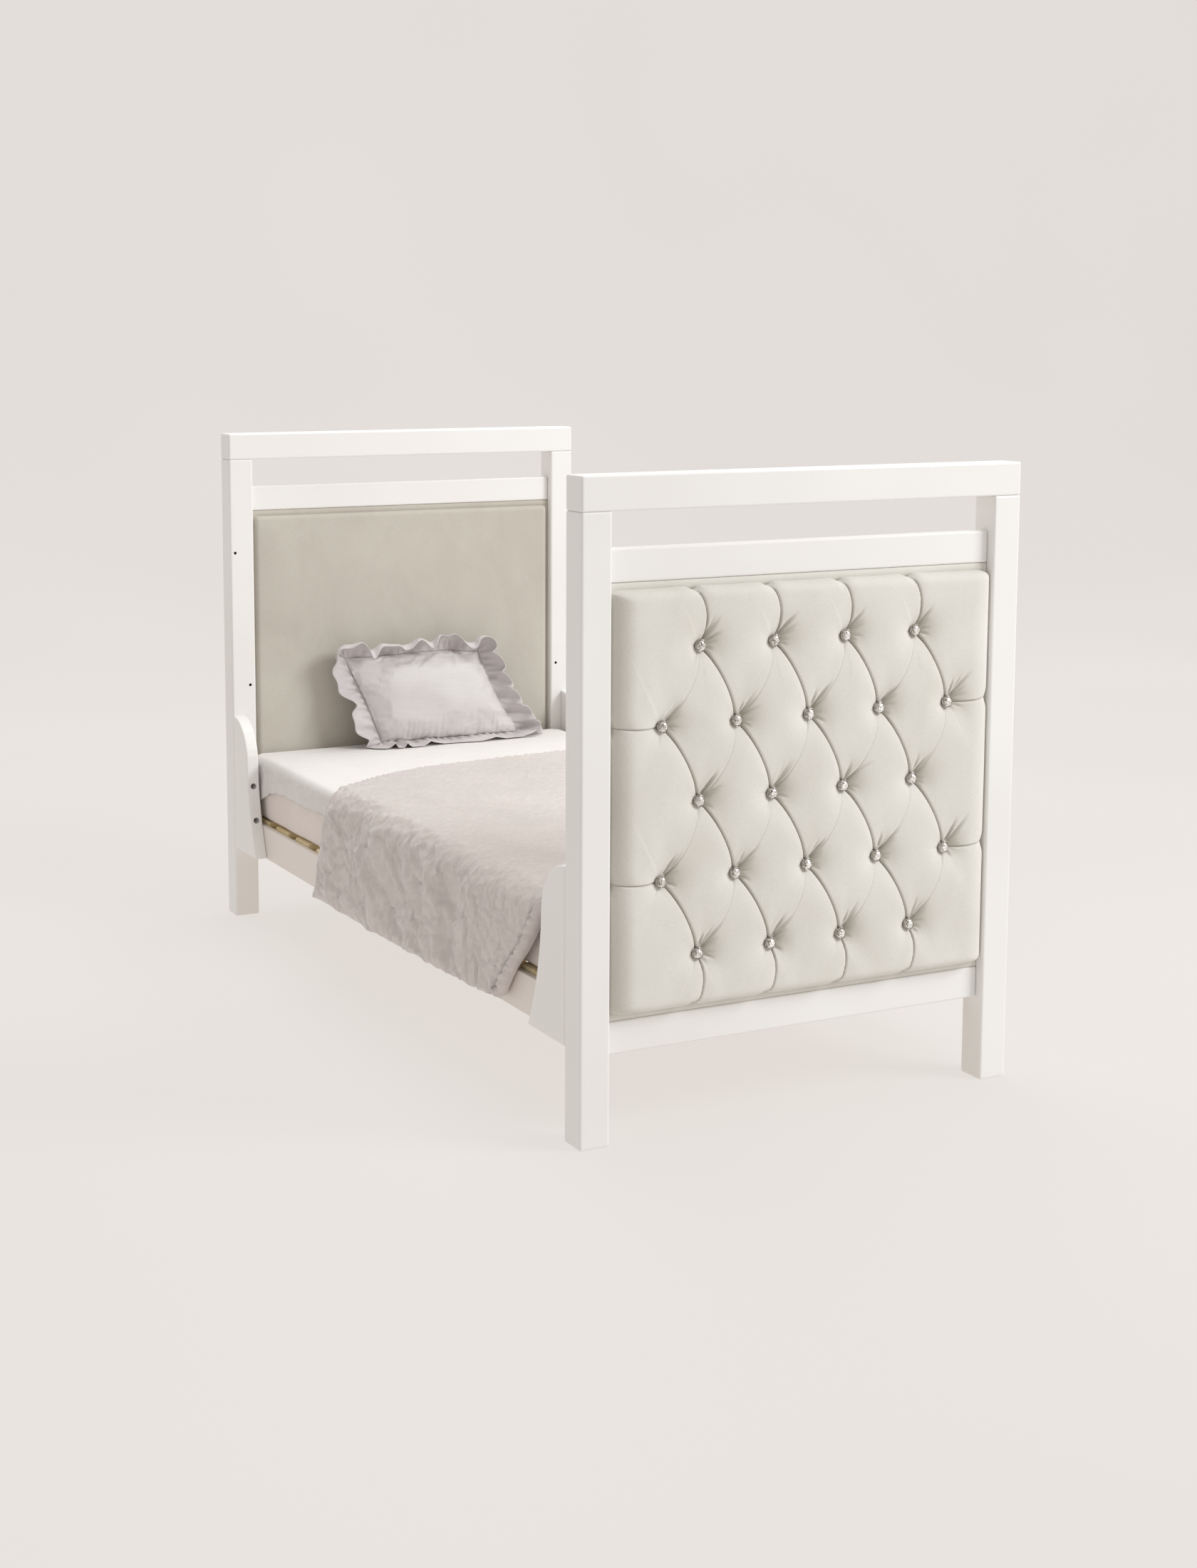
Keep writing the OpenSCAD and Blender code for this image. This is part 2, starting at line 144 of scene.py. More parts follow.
def mesh_object(name, points, faces, material, smooth=True):
    mesh = bpy.data.meshes.new(name)
    mesh.from_pydata([tuple(p) for p in points], [], faces)
    mesh.validate()
    mesh.polygons.foreach_set("use_smooth", [smooth] * len(mesh.polygons))
    mesh.materials.append(material)
    mesh.update()
    piece = bpy.data.objects.new(name, mesh)
    bpy.context.scene.collection.objects.link(piece)
    return piece


def grid_faces(rows, columns, wrap=False, flip=False, start=0):
    """Quads of a grid of points stored row by row; wrap joins the last column to the first."""
    faces = []
    for r in range(rows - 1):
        for c in range(columns if wrap else columns - 1):
            here, beside = start + r * columns + c, start + r * columns + (c + 1) % columns
            quad = (here, beside, beside + columns, here + columns)
            faces.append(quad[::-1] if flip else quad)
    return faces


def band(first, second, flip=False):
    """Quads between two closed loops of point indices."""
    faces = []
    for i in range(len(first)):
        j = (i + 1) % len(first)
        quad = (first[j], first[i], second[i], second[j])
        faces.append(quad[::-1] if flip else quad)
    return faces


def border_loop(rows, columns):
    """Indices round the edge of a grid, in order."""
    top = list(range(columns))
    right = [r * columns + columns - 1 for r in range(1, rows)]
    bottom = [(rows - 1) * columns + c for c in range(columns - 2, -1, -1)]
    left = [r * columns for r in range(rows - 2, 0, -1)]
    return top + right + bottom + left


def fan(loop, centre, flip=False):
    """Triangles from a closed loop of point indices to a centre point."""
    pairs = zip(loop, loop[1:] + loop[:1])
    return [(b, a, centre) if flip else (a, b, centre) for a, b in pairs]


def laced(loop, flip=False):
    """Faces that close a long loop, each point joined to the one facing it across the loop."""
    count = len(loop)
    faces = []
    for d in range(count // 2):
        quad = [loop[d], loop[d + 1], loop[(-d - 1) % count], loop[-d % count]]
        face = tuple(dict.fromkeys(quad))
        faces.append(face[::-1] if flip else face)
    return faces


def without_unused(points, faces):
    """The same mesh without the points that no face uses."""
    used = sorted({i for face in faces for i in face})
    place = {old: new for new, old in enumerate(used)}
    return points[used], [tuple(place[i] for i in face) for face in faces]


def repeated(copies, faces):
    """One mesh from copies of a mesh's points, all with the same faces."""
    size = len(copies[0])
    all_faces = [tuple(n * size + i for i in face) for n in range(len(copies)) for face in faces]
    return np.vstack(copies), all_faces


def slab_from_front(front, back_y):
    """Closed solid from a grid of front points (rows, columns, 3) and a flat back at y = back_y."""
    rows, columns = front.shape[:2]
    loop = border_loop(rows, columns)
    flat = front.reshape(-1, 3)
    ring = flat[loop].copy()
    ring[:, 1] = back_y
    points = np.vstack([flat, ring, ring.mean(0)[None]])
    back = list(range(len(flat), len(flat) + len(loop)))
    faces = grid_faces(rows, columns) + band(loop, back) + fan(back, len(points) - 1, flip=True)
    return points, faces


def cushion(front, back, shape):
    """Closed mesh of a front and a back grid that share the front's border."""
    second = shape[0] * shape[1]
    seam = {second + i: i for i in border_loop(*shape)}
    faces = grid_faces(*shape)
    for face in grid_faces(*shape, flip=True, start=second):
        faces.append(tuple(seam.get(i, i) for i in face))
    return without_unused(np.vstack([front, back]), faces)


def two_skins(rows, count):
    """Faces of an outer and an inner skin of closed rows, joined along their first rows."""
    second = rows * count
    faces = grid_faces(rows, count, wrap=True)
    faces += grid_faces(rows, count, wrap=True, flip=True, start=second)
    return faces + band(range(count), range(second, second + count))


def grid_normals(grid, wrap=False):
    """Unit normals of a grid of points (rows, columns, 3)."""
    along = np.gradient(grid, axis=1)
    if wrap:
        along = (np.roll(grid, -1, axis=1) - np.roll(grid, 1, axis=1)) / 2
    normal = np.cross(along, np.gradient(grid, axis=0))
    return normal / np.maximum(np.linalg.norm(normal, axis=-1, keepdims=True), 1e-12)


def turned_round(points):
    """The same points turned half round the bed's middle, from one end to the other."""
    return points * np.array([-1.0, -1.0, 1.0])


def both_ends(points):
    return ("foot", points), ("head", turned_round(points))


def ease(x, low=0.0, high=1.0):
    """0 below low, 1 above high and a smooth rise between them."""
    t = np.clip((x - low) / (high - low), 0, 1)
    return t * t * (3 - 2 * t)


def bell(x, width):
    """1 at x = 0, falling to 0 on both sides over about twice the width."""
    return np.exp(-(x / width) ** 2)


def value_noise(points, scale, seed):
    """Smooth noise from -1 to 1 at an array of points, as a sum of seeded sine waves."""
    rng = np.random.default_rng(seed)
    flat = points.reshape(-1, 3)
    total = np.zeros(len(flat))
    for _ in range(NOISE_WAVES):
        direction = rng.normal(size=3)
        direction *= rng.uniform(0.6, 1.6) / np.linalg.norm(direction)
        total += np.sin(flat @ direction * TAU / scale + rng.uniform(0, TAU))
    return (total / math.sqrt(NOISE_WAVES / 2)).reshape(points.shape[:-1])


def planar(across, along):
    """Points (across, along, 0) for value_noise."""
    return np.stack([across, along, np.zeros_like(across)], axis=-1)


def keep_values(piece, name, values):
    """Stores one number per point on a piece's mesh, for its material to read."""
    attribute = piece.data.attributes.new(name, "FLOAT", "POINT")
    attribute.data.foreach_set("value", np.asarray(values, dtype=np.float32))


def coordinates(mesh):
    flat = np.empty(len(mesh.vertices) * 3, dtype=np.float32)
    mesh.vertices.foreach_get("co", flat)
    return flat.reshape(-1, 3).astype(float)


def crumpled(points, faces, held, growth, pressure, cap):
    """Points after a short cloth simulation: the cloth is growth larger than its shape, so it buckles.

    held is each point's hold on its place, from 0 free to 1 fixed. No point moves more than cap.
    """
    trial = mesh_object("cloth_trial", points, faces, PAINT)
    group = trial.vertex_groups.new(name="held")
    levels = np.round(held * HOLD_LEVELS).astype(int)
    for level in np.unique(levels):
        members = [int(i) for i in np.nonzero(levels == level)[0]]
        group.add(members, float(level) / HOLD_LEVELS, "REPLACE")
    modifier = trial.modifiers.new("cloth", "CLOTH")
    settings = {
        "quality": 4, "mass": 0.15, "tension_stiffness": 20, "compression_stiffness": 20,
        "shear_stiffness": 8, "bending_stiffness": 0.05, "vertex_group_mass": "held",
        "pin_stiffness": 1.0, "shrink_min": -growth, "shrink_max": -growth,
        "use_pressure": pressure > 0, "uniform_pressure_force": pressure,
    }
    for name, value in settings.items():
        setattr(modifier.settings, name, value)
    modifier.settings.effector_weights.gravity = 0
    modifier.point_cache.frame_start = 1
    modifier.point_cache.frame_end = CLOTH_FRAMES
    scene = bpy.context.scene
    for frame_number in range(1, CLOTH_FRAMES + 1):
        scene.frame_set(frame_number)
    shaped = trial.evaluated_get(bpy.context.evaluated_depsgraph_get())
    step = coordinates(shaped.data) - points
    scene.frame_set(1)
    bpy.data.objects.remove(trial)
    length = np.linalg.norm(step, axis=1)
    return points + step * np.minimum(1, cap / np.maximum(length, 1e-9))[:, None]


# ---- Material helpers ----

def linear(red, green, blue):
    """Linear colour of an 8-bit screen colour."""
    def channel(value):
        v = value / 255
        return v / 12.92 if v <= 0.04045 else ((v + 0.055) / 1.055) ** 2.4
    return (channel(red), channel(green), channel(blue), 1.0)


class Surface:
    """A node material on one Principled shader, built up from procedural textures."""

    def __init__(self, name, roughness, metallic=0.0, sheen=0.0, coat=0.0):
        self.material = bpy.data.materials.new(name)
        self.material.use_nodes = True
        self.tree = self.material.node_tree
        self.shader = self.tree.nodes["Principled BSDF"]
        self.fill(self.shader, {"Roughness": roughness, "Metallic": metallic, "Sheen Weight": sheen,
                                "Sheen Roughness": 0.4, "Coat Weight": coat})
        self.place = self.add("TexCoord", "Object", {})
        self.normal = None

    def fill(self, node, inputs):
        """Links a node's inputs to the sockets among the values, and sets the others."""
        for name, value in inputs.items():
            if isinstance(value, bpy.types.NodeSocket):
                self.tree.links.new(value, node.inputs[name])
            else:
                node.inputs[name].default_value = value

    def add(self, kind, output, inputs, **settings):
        """One output of a new node."""
        node = self.tree.nodes.new(f"ShaderNode{kind}")
        for name, value in settings.items():
            setattr(node, name, value)
        self.fill(node, inputs)
        return node.outputs[output]

    def stretched(self, scale):
        return self.add("Mapping", "Vector", {"Scale": scale, "Vector": self.place})

    def noise(self, scale, detail=3.0, stretch=(1, 1, 1), distortion=0.0):
        return self.add("TexNoise", "Fac", {"Scale": scale, "Detail": detail, "Distortion": distortion,
                                            "Vector": self.stretched(stretch)})

    def wave(self, scale, direction):
        inputs = {"Scale": scale, "Vector": self.stretched((1, 1, 1))}
        return self.add("TexWave", "Fac", inputs, bands_direction=direction)

    def toward(self, direction):
        """How far the surface turns to a fixed direction: 0 away, 0.5 side-on, 1 facing."""
        normal = self.add("NewGeometry", "Normal", {})
        dot = self.add("VectorMath", "Value", {0: normal, 1: direction}, operation="DOT_PRODUCT")
        return self.add("MapRange", "Result", {"From Min": -1, "Value": dot})

    def point_value(self, name):
        return self.add("Attribute", "Fac", {}, attribute_name=name)

    def ramp(self, factor, *stops):
        colour = self.add("ValToRGB", "Color", {"Fac": factor})
        elements = colour.node.color_ramp.elements
        while len(elements) < len(stops):
            elements.new(0.5)
        for element, stop in zip(elements, stops):
            element.position, element.color = stop
        return colour

    def mix(self, factor, a, b, blend="MIX"):
        return self.add("Mix", 2, {0: factor, 6: a, 7: b}, data_type="RGBA", blend_type=blend)

    def product(self, a, b):
        return self.mix(1.0, a, b, "MULTIPLY")

    def colour(self, socket):
        self.fill(self.shader, {"Base Color": socket})

    def roughness(self, factor, low, high):
        spread = self.add("MapRange", "Result", {"To Min": low, "To Max": high, "Value": factor})
        self.fill(self.shader, {"Roughness": spread})

    def bump(self, height, strength, distance):
        """Adds a bump on top of the bumps that are there already."""
        inputs = {"Strength": strength, "Distance": distance, "Height": height}
        if self.normal:
            inputs["Normal"] = self.normal
        self.normal = self.add("Bump", "Normal", inputs)
        self.fill(self.shader, {"Normal": self.normal})


# ---- Materials ----

def painted_wood(name, pale, dark):
    s = Surface(name, roughness=0.42, coat=0.08)
    s.colour(s.ramp(s.noise(3.0, detail=2), (0.3, linear(*dark)), (0.7, linear(*pale))))
    s.roughness(s.noise(40, detail=2), 0.36, 0.48)
    s.bump(s.noise(260, detail=2), 0.06, 0.0006)
    s.bump(s.noise(24, detail=2, stretch=(1, 1, 0.35)), 0.05, 0.002)
    return s.material


def pine(name, pale, dark, along):
    """Bare softwood with its grain along one axis, and a tone that changes from board to board."""
    pale, dark = linear(*pale), linear(*dark)
    s = Surface(name, roughness=0.62)
    lengthwise = tuple(0.06 if i == along else 1.0 for i in range(3))
    rings = s.noise(70, detail=4, stretch=lengthwise, distortion=0.6)
    board = s.noise(4.5, detail=1, stretch=(0.02, 1, 1) if along == 0 else (1, 0.02, 1))
    grain = s.ramp(rings, (0.30, dark), (0.48, pale), (0.62, pale), (0.75, dark))
    tone = s.ramp(board, (0.35, linear(228, 214, 184)), (0.65, linear(255, 250, 240)))
    s.colour(s.product(grain, tone))
    s.bump(rings, 0.12, 0.0008)
    return s.material


def velvet(name, pale, dark, hollow_shade_colour):
    """Short-pile velvet: brushed patches, fine pile, painted shade in the hollows and painted shade in
    the creases.
    """
    s = Surface(name, roughness=0.88, sheen=0.25)
    patches = s.noise(9, detail=3, stretch=(1, 1, 0.6), distortion=0.8)
    base = s.ramp(patches, (0.30, linear(*dark)), (0.68, linear(*pale)))
    pile = s.ramp(s.noise(650, detail=2), (0.3, (0.90, 0.90, 0.90, 1)), (0.7, WHITE))
    # Painted shade: faces turned to the shade direction are painted darker where the hollow share is set.
    turned_shade = s.ramp(s.toward(SHADE_DIRECTION), (0.51, WHITE), (0.62, hollow_shade_colour))
    hollow = s.mix(s.point_value("hollow_shade"), WHITE, turned_shade)
    # Painted shade: the bottoms of pleats and creases are painted darker.
    painted_crease_shade = s.ramp(s.point_value("crease"), (0.0, WHITE), (1.0, (0.52, 0.50, 0.46, 1)))
    s.colour(s.product(s.product(s.product(base, pile), hollow), painted_crease_shade))
    s.bump(s.noise(900, detail=2), 0.16, 0.0006)
    return s.material


def woven(name, pale, dark, roughness, sheen, thread, crinkle):
    """Plain-woven cloth: two crossing threads, faint slubs, small crinkles, painted shade in creases."""
    s = Surface(name, roughness=roughness, sheen=sheen)
    tone = s.ramp(s.noise(6, detail=4, distortion=0.5), (0.32, linear(*dark)), (0.68, linear(*pale)))
    threads = s.noise(160, detail=2, stretch=(0.15, 1, 1))
    slub = s.ramp(threads, (0.35, (0.965, 0.965, 0.965, 1)), (0.6, WHITE))
    # Painted shade: the crease value paints the cloth darker, along the duvet's seam line.
    closed = s.ramp(s.point_value("crease"), (0.0, WHITE), (1.0, (0.40, 0.38, 0.38, 1)))
    s.colour(s.product(s.product(tone, slub), closed))
    s.roughness(s.noise(30, detail=3), roughness - 0.05, roughness + 0.07)
    for direction in "XY":
        s.bump(s.wave(thread, direction), 0.05, 0.0004)
    s.bump(s.noise(55, detail=5, distortion=0.9), crinkle, 0.004)
    return s.material


def metal(name, colour, dark, roughness):
    s = Surface(name, roughness=roughness, metallic=1.0)
    s.colour(s.ramp(s.noise(220, detail=3), (0.3, linear(*dark)), (0.7, linear(*colour))))
    s.bump(s.noise(900, detail=1), 0.04, 0.0003)
    return s.material


def crystal():
    s = Surface("cut_crystal", roughness=0.02)
    s.fill(s.shader, {"Transmission Weight": 0.45, "IOR": 1.75})
    # Painted reflections: noise mottles the clear crystal from dark brown-grey to white, standing in for
    # the dark and bright reflections in its facets, besides its real gloss and transmission.
    s.colour(s.ramp(s.noise(430, detail=1), (0.34, linear(120, 108, 90)), (0.46, linear(208, 201, 187)),
                    (0.56, linear(255, 254, 250))))
    return s.material


PAINT = painted_wood("white_paint", (245, 244, 242), (240, 238, 235))
# Painted shade: the side rails get a darker, warmer copy of the white paint, for the shade and warm
# bounce light under the bedding.
SHADED_RAIL_PAINT = painted_wood("shaded_white_paint", (237, 230, 223), (232, 224, 216))
PINE = pine("bare_pine", (232, 222, 192), (208, 196, 160), along=0)
PINE_LONG = pine("bare_pine_long", (228, 216, 184), (204, 190, 152), along=1)
PLYWOOD = pine("plywood", (205, 180, 140), (176, 150, 110), along=0)
VELVET = velvet("tufted_velvet", (233, 231, 224), (226, 223, 215), (0.62, 0.60, 0.55, 1))
FLAT_VELVET = velvet("flat_velvet", (205, 200, 189), (196, 190, 179), (0.80, 0.78, 0.74, 1))
DUVET_SATIN = woven("duvet_satin", (218, 210, 206), (211, 203, 199), 0.40, 0.45, 900, 0.26)
PILLOW_SATIN = woven("pillow_satin", (217, 213, 211), (210, 206, 205), 0.52, 0.25, 900, 0.10)
FRILL_SATIN = woven("frill_satin", (211, 206, 206), (200, 194, 194), 0.55, 0.25, 900, 0.12)
COTTON = woven("white_cotton", (233, 230, 228), (228, 225, 222), 0.80, 0.10, 700, 0.06)
TICKING = woven("mattress_ticking", (240, 231, 226), (231, 221, 216), 0.80, 0.10, 600, 0.14)
STEEL = metal("dark_steel", (120, 116, 112), (84, 80, 76), 0.35)
SILVER = metal("silver_cup", (200, 196, 189), (142, 136, 127), 0.22)
CRYSTAL = crystal()

NODE_MATERIALS = {
    "post": PAINT, "cap_rail": PAINT, "middle_rail": PAINT, "bottom_rail": PAINT, "bracket_foot": PAINT,
    "bracket_head": PAINT, "side_rail": SHADED_RAIL_PAINT, "bearer": PINE_LONG, "slat_screws": STEEL,
    "slat": PINE, "dowels": PINE, "board": PLYWOOD, "bracket_bolts": STEEL, "threaded_inserts": STEEL,
    "rail_screws": STEEL, "buttons": SILVER,
}


def dress_cad_nodes():
    """Gives each CAD node the material of the first key above that its name holds."""
    for name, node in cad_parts.items():
        for key, material in NODE_MATERIALS.items():
            if key in name:
                for slot in node.material_slots:
                    slot.material = material
                break


# ---- Tufted pads ----

PAD_LOW, PAD_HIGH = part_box("foot_tufted_pad")
BOARD_FACE = PAD_HIGH.y
PANEL_LOW, PANEL_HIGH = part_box("foot_board")
BUTTON_MIDDLE_Z = (PANEL_LOW.z + PANEL_HIGH.z) / 2 - 0.003


def button_places():
    """(x, z, row) of every button, in staggered rows of four and five."""
    places = []
    for row in range(BUTTON_ROWS):
        count = 4 if row % 2 == 0 else 5
        z = BUTTON_MIDDLE_Z + (row - (BUTTON_ROWS - 1) / 2) * BUTTON_PITCH_Z
        places += [((i - (count - 1) / 2) * BUTTON_PITCH_X, z, row) for i in range(count)]
    return places


def pleat(start, end, bow, sharp):
    """A fold in the pad; bow is how far it bends to the left of the way from start to end."""
    return {"start": np.array(start), "end": np.array(end), "bow": bow, "sharp": sharp}


def pleats():
    """Folds from every button down to its neighbours, and from the outer buttons to the pad's edges."""
    found = []
    places = button_places()
    for x, z, row in places:
        for other_x, other_z, other_row in places:
            if other_row != row - 1 or abs(abs(other_x - x) - BUTTON_PITCH_X / 2) > 1e-6:
                continue
            shape = RIGHT_PLEAT if other_x > x else LEFT_PLEAT
            found.append(pleat((x, z), (other_x, other_z), *shape))
        if row == BUTTON_ROWS - 1:
            found.append(pleat((x, z), (x - 0.008, PAD_HIGH.z), -0.013, 0.8))
        if row == 0:
            found.append(pleat((x, z), (x - 0.002, PAD_LOW.z), 0.010, 0.9))
        if row % 2 == 1 and abs(x) > 1.9 * BUTTON_PITCH_X:
            side = PAD_HIGH.x if x > 0 else PAD_LOW.x
            found.append(pleat((x, z), (side, z + 0.003), -math.copysign(0.003, x), 0.7))
    return found


def sharpness(p, t, low, gain, start):
    """A pleat's sharpness at t along it: a faint pleat is soft at first and gains towards its end."""
    return p["sharp"] if p["sharp"] > 0.5 else low + gain * ease(t, start, 1.0)


def from_pleat(p, x, z):
    """Signed distance from a bowed pleat, place along it from 0 to 1, and the pleat's unit normal."""
    run = p["end"] - p["start"]
    length = np.linalg.norm(run)
    run = run / length
    normal = np.array([-run[1], run[0]])
    dx, dz = x - p["start"][0], z - p["start"][1]
    along = (dx * run[0] + dz * run[1]) / length
    t = np.clip(along, 0, 1)
    side = dx * normal[0] + dz * normal[1] - 4 * p["bow"] * t * (1 - t)
    return np.sign(side + 1e-12) * np.hypot(side, (along - t) * length), t, normal


def gather_to_pleats(x, z, all_pleats, reach=0.009):
    """Moves grid points towards the nearest pleat, so that its fold is drawn crisply."""
    nearest = np.full(x.shape, 1e9)
    shift_x, shift_z = np.zeros_like(x), np.zeros_like(z)
    for p in all_pleats:
        d, t, normal = from_pleat(p, x, z)
        hit = (np.abs(d) < nearest) & (t > 0) & (t < 1)
        nearest = np.where(hit, np.abs(d), nearest)
        share = np.clip(np.abs(d) / reach, 0, 1)
        wanted = np.sign(d) * reach * share ** 1.7
        move = np.where(np.abs(d) < reach, wanted - d, 0)
        shift_x = np.where(hit, move * normal[0], shift_x)
        shift_z = np.where(hit, move * normal[1], shift_z)
    return x + shift_x, z + shift_z


# Creases that fan out of each button: angle and its spread in degrees, reach in metres, relative
# depth. CREASE_MM is the depth in millimetres at 1.
BUTTON_CREASES = [(72, 5, 0.044, 0.9), (62, 4, 0.052, 1.2), (52, 4, 0.060, 1.3), (41, 5, 0.042, 1.0),
                  (28, 6, 0.034, 0.6), (4, 14, 0.030, 0.6), (-24, 8, 0.030, 0.8), (-44, 6, 0.024, 0.8),
                  (182, 16, 0.026, 0.45), (-110, 12, 0.030, 0.5)]
CREASE_MM = 2.3
CREASE_SEED = 41


def radial_creases(x, z):
    """Depth of the short creases that fan out of each button, mostly to its right."""
    rng = np.random.default_rng(CREASE_SEED)
    depth = np.zeros_like(x)
    for bx, bz, _ in button_places():
        dx, dz = x - bx, z - bz
        r = np.hypot(dx, dz)
        angle = np.degrees(np.arctan2(dz, dx))
        for centre, spread, reach, amount in BUTTON_CREASES:
            aim = centre + rng.uniform(-spread, spread)
            bend = rng.uniform(-260, 120)
            off = (angle - aim - bend * r + 180) % 360 - 180
            reach = reach * rng.uniform(0.75, 1.2)
            window = ease(r, 0.006, 0.014) * (1 - ease(r, 0.45 * reach, reach))
            line = window * bell(np.radians(off) * r, 0.0010 + 0.034 * r)
            depth += CREASE_MM * amount * rng.uniform(0.6, 1.2) * MM * line
    return depth


def pad_relief(x, z, all_pleats):
    """Depth of the tufted surface below its highest level: hollows, pleats and creases, blended."""
    total = np.zeros_like(x)
    groove = np.zeros_like(x)
    for bx, bz, _ in button_places():
        r = np.maximum(np.hypot(x - bx, z - bz) - 0.009, 0)
        reach = 0.018 + 0.018 * ease((x - bx) + 0.35 * (z - bz), -0.012, 0.030)
        total += (BUTTON_DEPTH * np.exp(-r / reach)) ** BLEND_POWER
    for p in all_pleats:
        d, t, _ = from_pleat(p, x, z)
        reach = np.where(d > 0, 0.032, 0.013)
        depth = (4.4 + 2.4 * (2 * t - 1) ** 2) * MM * sharpness(p, t, low=0.22, gain=0.50, start=0.35)
        total += (depth * np.exp(-np.abs(d) / reach)) ** BLEND_POWER
        crisp = sharpness(p, t, low=0.10, gain=0.35, start=0.5)
        groove = np.maximum(groove, GROOVE_DEPTH * crisp * bell(d, 0.0010))
    return total ** (1 / BLEND_POWER) + groove + radial_creases(x, z)


def edge_pull(along, places, narrow, wide, from_edge):
    """How far the pad's outline is drawn in where pleats run over its edge, and let out beside them."""
    drawn, let_out = (sum(bell(along - place, width) for place in places) for width in (narrow, wide))
    return (0.0055 * drawn - 0.0012 * let_out) * np.exp(-from_edge / 0.012)


def tufted_front():
    columns = int((PAD_HIGH.x - PAD_LOW.x) / PAD_GRID) + 1
    rows = int((PAD_HIGH.z - PAD_LOW.z) / PAD_GRID) + 1
    z, x = np.meshgrid(np.linspace(PAD_LOW.z, PAD_HIGH.z, rows),
                       np.linspace(PAD_LOW.x, PAD_HIGH.x, columns), indexing="ij")
    edge_x = np.minimum(x - PAD_LOW.x, PAD_HIGH.x - x)
    edge_z = np.minimum(z - PAD_LOW.z, PAD_HIGH.z - z)
    inside = ease(np.minimum(edge_x, edge_z), 0.0, 0.012)
    all_pleats = pleats()
    moved_x, moved_z = gather_to_pleats(x, z, all_pleats)
    x, z = x + (moved_x - x) * inside, z + (moved_z - z) * inside

    fall_x = np.clip(1 - edge_x / PAD_SIDE_EDGE, 0, 1)
    fall_z = np.clip(1 - edge_z / PAD_EDGE, 0, 1)
    fall = np.clip((fall_x ** 5 + fall_z ** 5) ** 0.2, 0, 1)
    height = PAD_PEAK - pad_relief(x, z, all_pleats)
    height -= (height - 0.004) * (1 - np.sqrt(1 - fall ** 3.6))

    side_rows = [BUTTON_MIDDLE_Z + k * BUTTON_PITCH_Z for k in (-1, 1)]
    end_columns = [k * BUTTON_PITCH_X - 0.006 for k in (-1.5, -0.5, 0.5, 1.5)]
    pull_x = edge_pull(z, side_rows, narrow=0.010, wide=0.045, from_edge=edge_x)
    pull_z = edge_pull(x, end_columns, narrow=0.009, wide=0.040, from_edge=edge_z)
    swell = PAD_SIDE_SWELL * (1 - ease(edge_x, 0.0, 0.024))
    x = x + np.sign(x) * (swell - pull_x)
    z = z - np.sign(z - BUTTON_MIDDLE_Z) * pull_z
    return np.stack([x, BOARD_FACE - height, z], axis=-1)


def hollow_shade_share(points):
    """Share of painted shade: 1 in the hollow to the right of a button, part of 1 at the left edge, 0
    elsewhere.
    """
    share = EDGE_SHADE * (1 - ease(points[:, 0] - PAD_LOW.x, 0.0, 0.065))
    for x, z, _ in button_places():
        dx, dz = points[:, 0] - x, points[:, 2] - z
        beside = ease(dx + 0.35 * dz, -0.010, 0.016)
        share = np.maximum(share, beside * np.exp(-(np.hypot(dx, 1.15 * dz) / 0.044) ** 2.2))
    return share


def crease_shade_share(points):
    """Share of painted shade: 1 at the bottom of a pleat or crease, where shade falls."""
    x, z = points[:, 0], points[:, 2]
    share = np.clip(radial_creases(x, z) / 0.0055, 0, 0.42)
    for p in pleats():
        d, t, _ = from_pleat(p, x, z)
        share = np.maximum(share, sharpness(p, t, low=0.15, gain=0.45, start=0.4) * bell(d, 0.0009))
    return share


def add_tufted_pads():
    points, faces = slab_from_front(tufted_front(), BOARD_FACE - PAD_BACK_GAP)
    shares = {"hollow_shade": hollow_shade_share(points), "crease": crease_shade_share(points)}
    for end, place in both_ends(points):
        pad = mesh_object(f"{end}_tufted_padding", place, faces, VELVET)
        for name, values in shares.items():
            keep_values(pad, name, values)
        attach(pad, "bed_frame")
        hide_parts(f"{end}_tufted_pad")


def border_ring(name, face_y, outwards, material):
    """Velvet-covered strip round a pad, on the board between the pad and the wood."""
    low = np.array([PANEL_LOW.x, PANEL_LOW.z]) + 0.0003
    high = np.array([PANEL_HIGH.x, PANEL_HIGH.z]) - 0.0003
    profile = [(0.0, 0.0), (0.0, 0.0030), (0.12, 0.0046), (0.35, 0.0052), (0.60, 0.0046), (1.0, 0.0012),
               (1.0, 0.0)]
    xs, zs = np.linspace(0, 1, 85)[:-1], np.linspace(0, 1, 81)[:-1]
    route = np.array([(t, 0.0) for t in xs] + [(1.0, t) for t in zs]
                     + [(1 - t, 1.0) for t in xs] + [(0.0, 1 - t) for t in zs])
    points = []
    for share, height in profile:
        ring = low + share * BORDER_INSET + route * (high - low - 2 * share * BORDER_INSET)
        points += [(x, face_y + outwards * height, z) for x, z in ring]
    count = len(route)
    faces = grid_faces(len(profile), count, wrap=True, flip=outwards > 0)
    faces += band(range(count), range(len(points) - count, len(points)), flip=outwards > 0)
    return mesh_object(name, points, faces, material)


def add_borders():
    for end in ("foot", "head"):
        low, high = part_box(f"{end}_board")
        for letter, face_y, outwards in (("a", low.y, -1), ("b", high.y, 1)):
            tufted = (end == "foot") == (outwards < 0)
            material = VELVET if tufted else FLAT_VELVET
            ring = border_ring(f"{end}_border_{letter}", face_y, outwards, material)
            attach(ring, "bed_frame")


# ---- Buttons ----

def lathe(profile, sides):
    """Points and faces of a closed turned shape about the local -Y axis; profile is (radius, height)."""
    points = []
    for radius, height in profile:
        for i in range(sides):
            a = TAU * i / sides
            points.append((radius * math.cos(a), -height, radius * math.sin(a)))
    low, high = len(points), len(points) + 1
    points += [(0, -profile[0][1], 0), (0, -profile[-1][1], 0)]
    faces = grid_faces(len(profile), sides, wrap=True, flip=True)
    faces += fan(list(range(sides)), low) + fan(list(range(low - sides, low)), high, flip=True)
    return np.array(points), faces


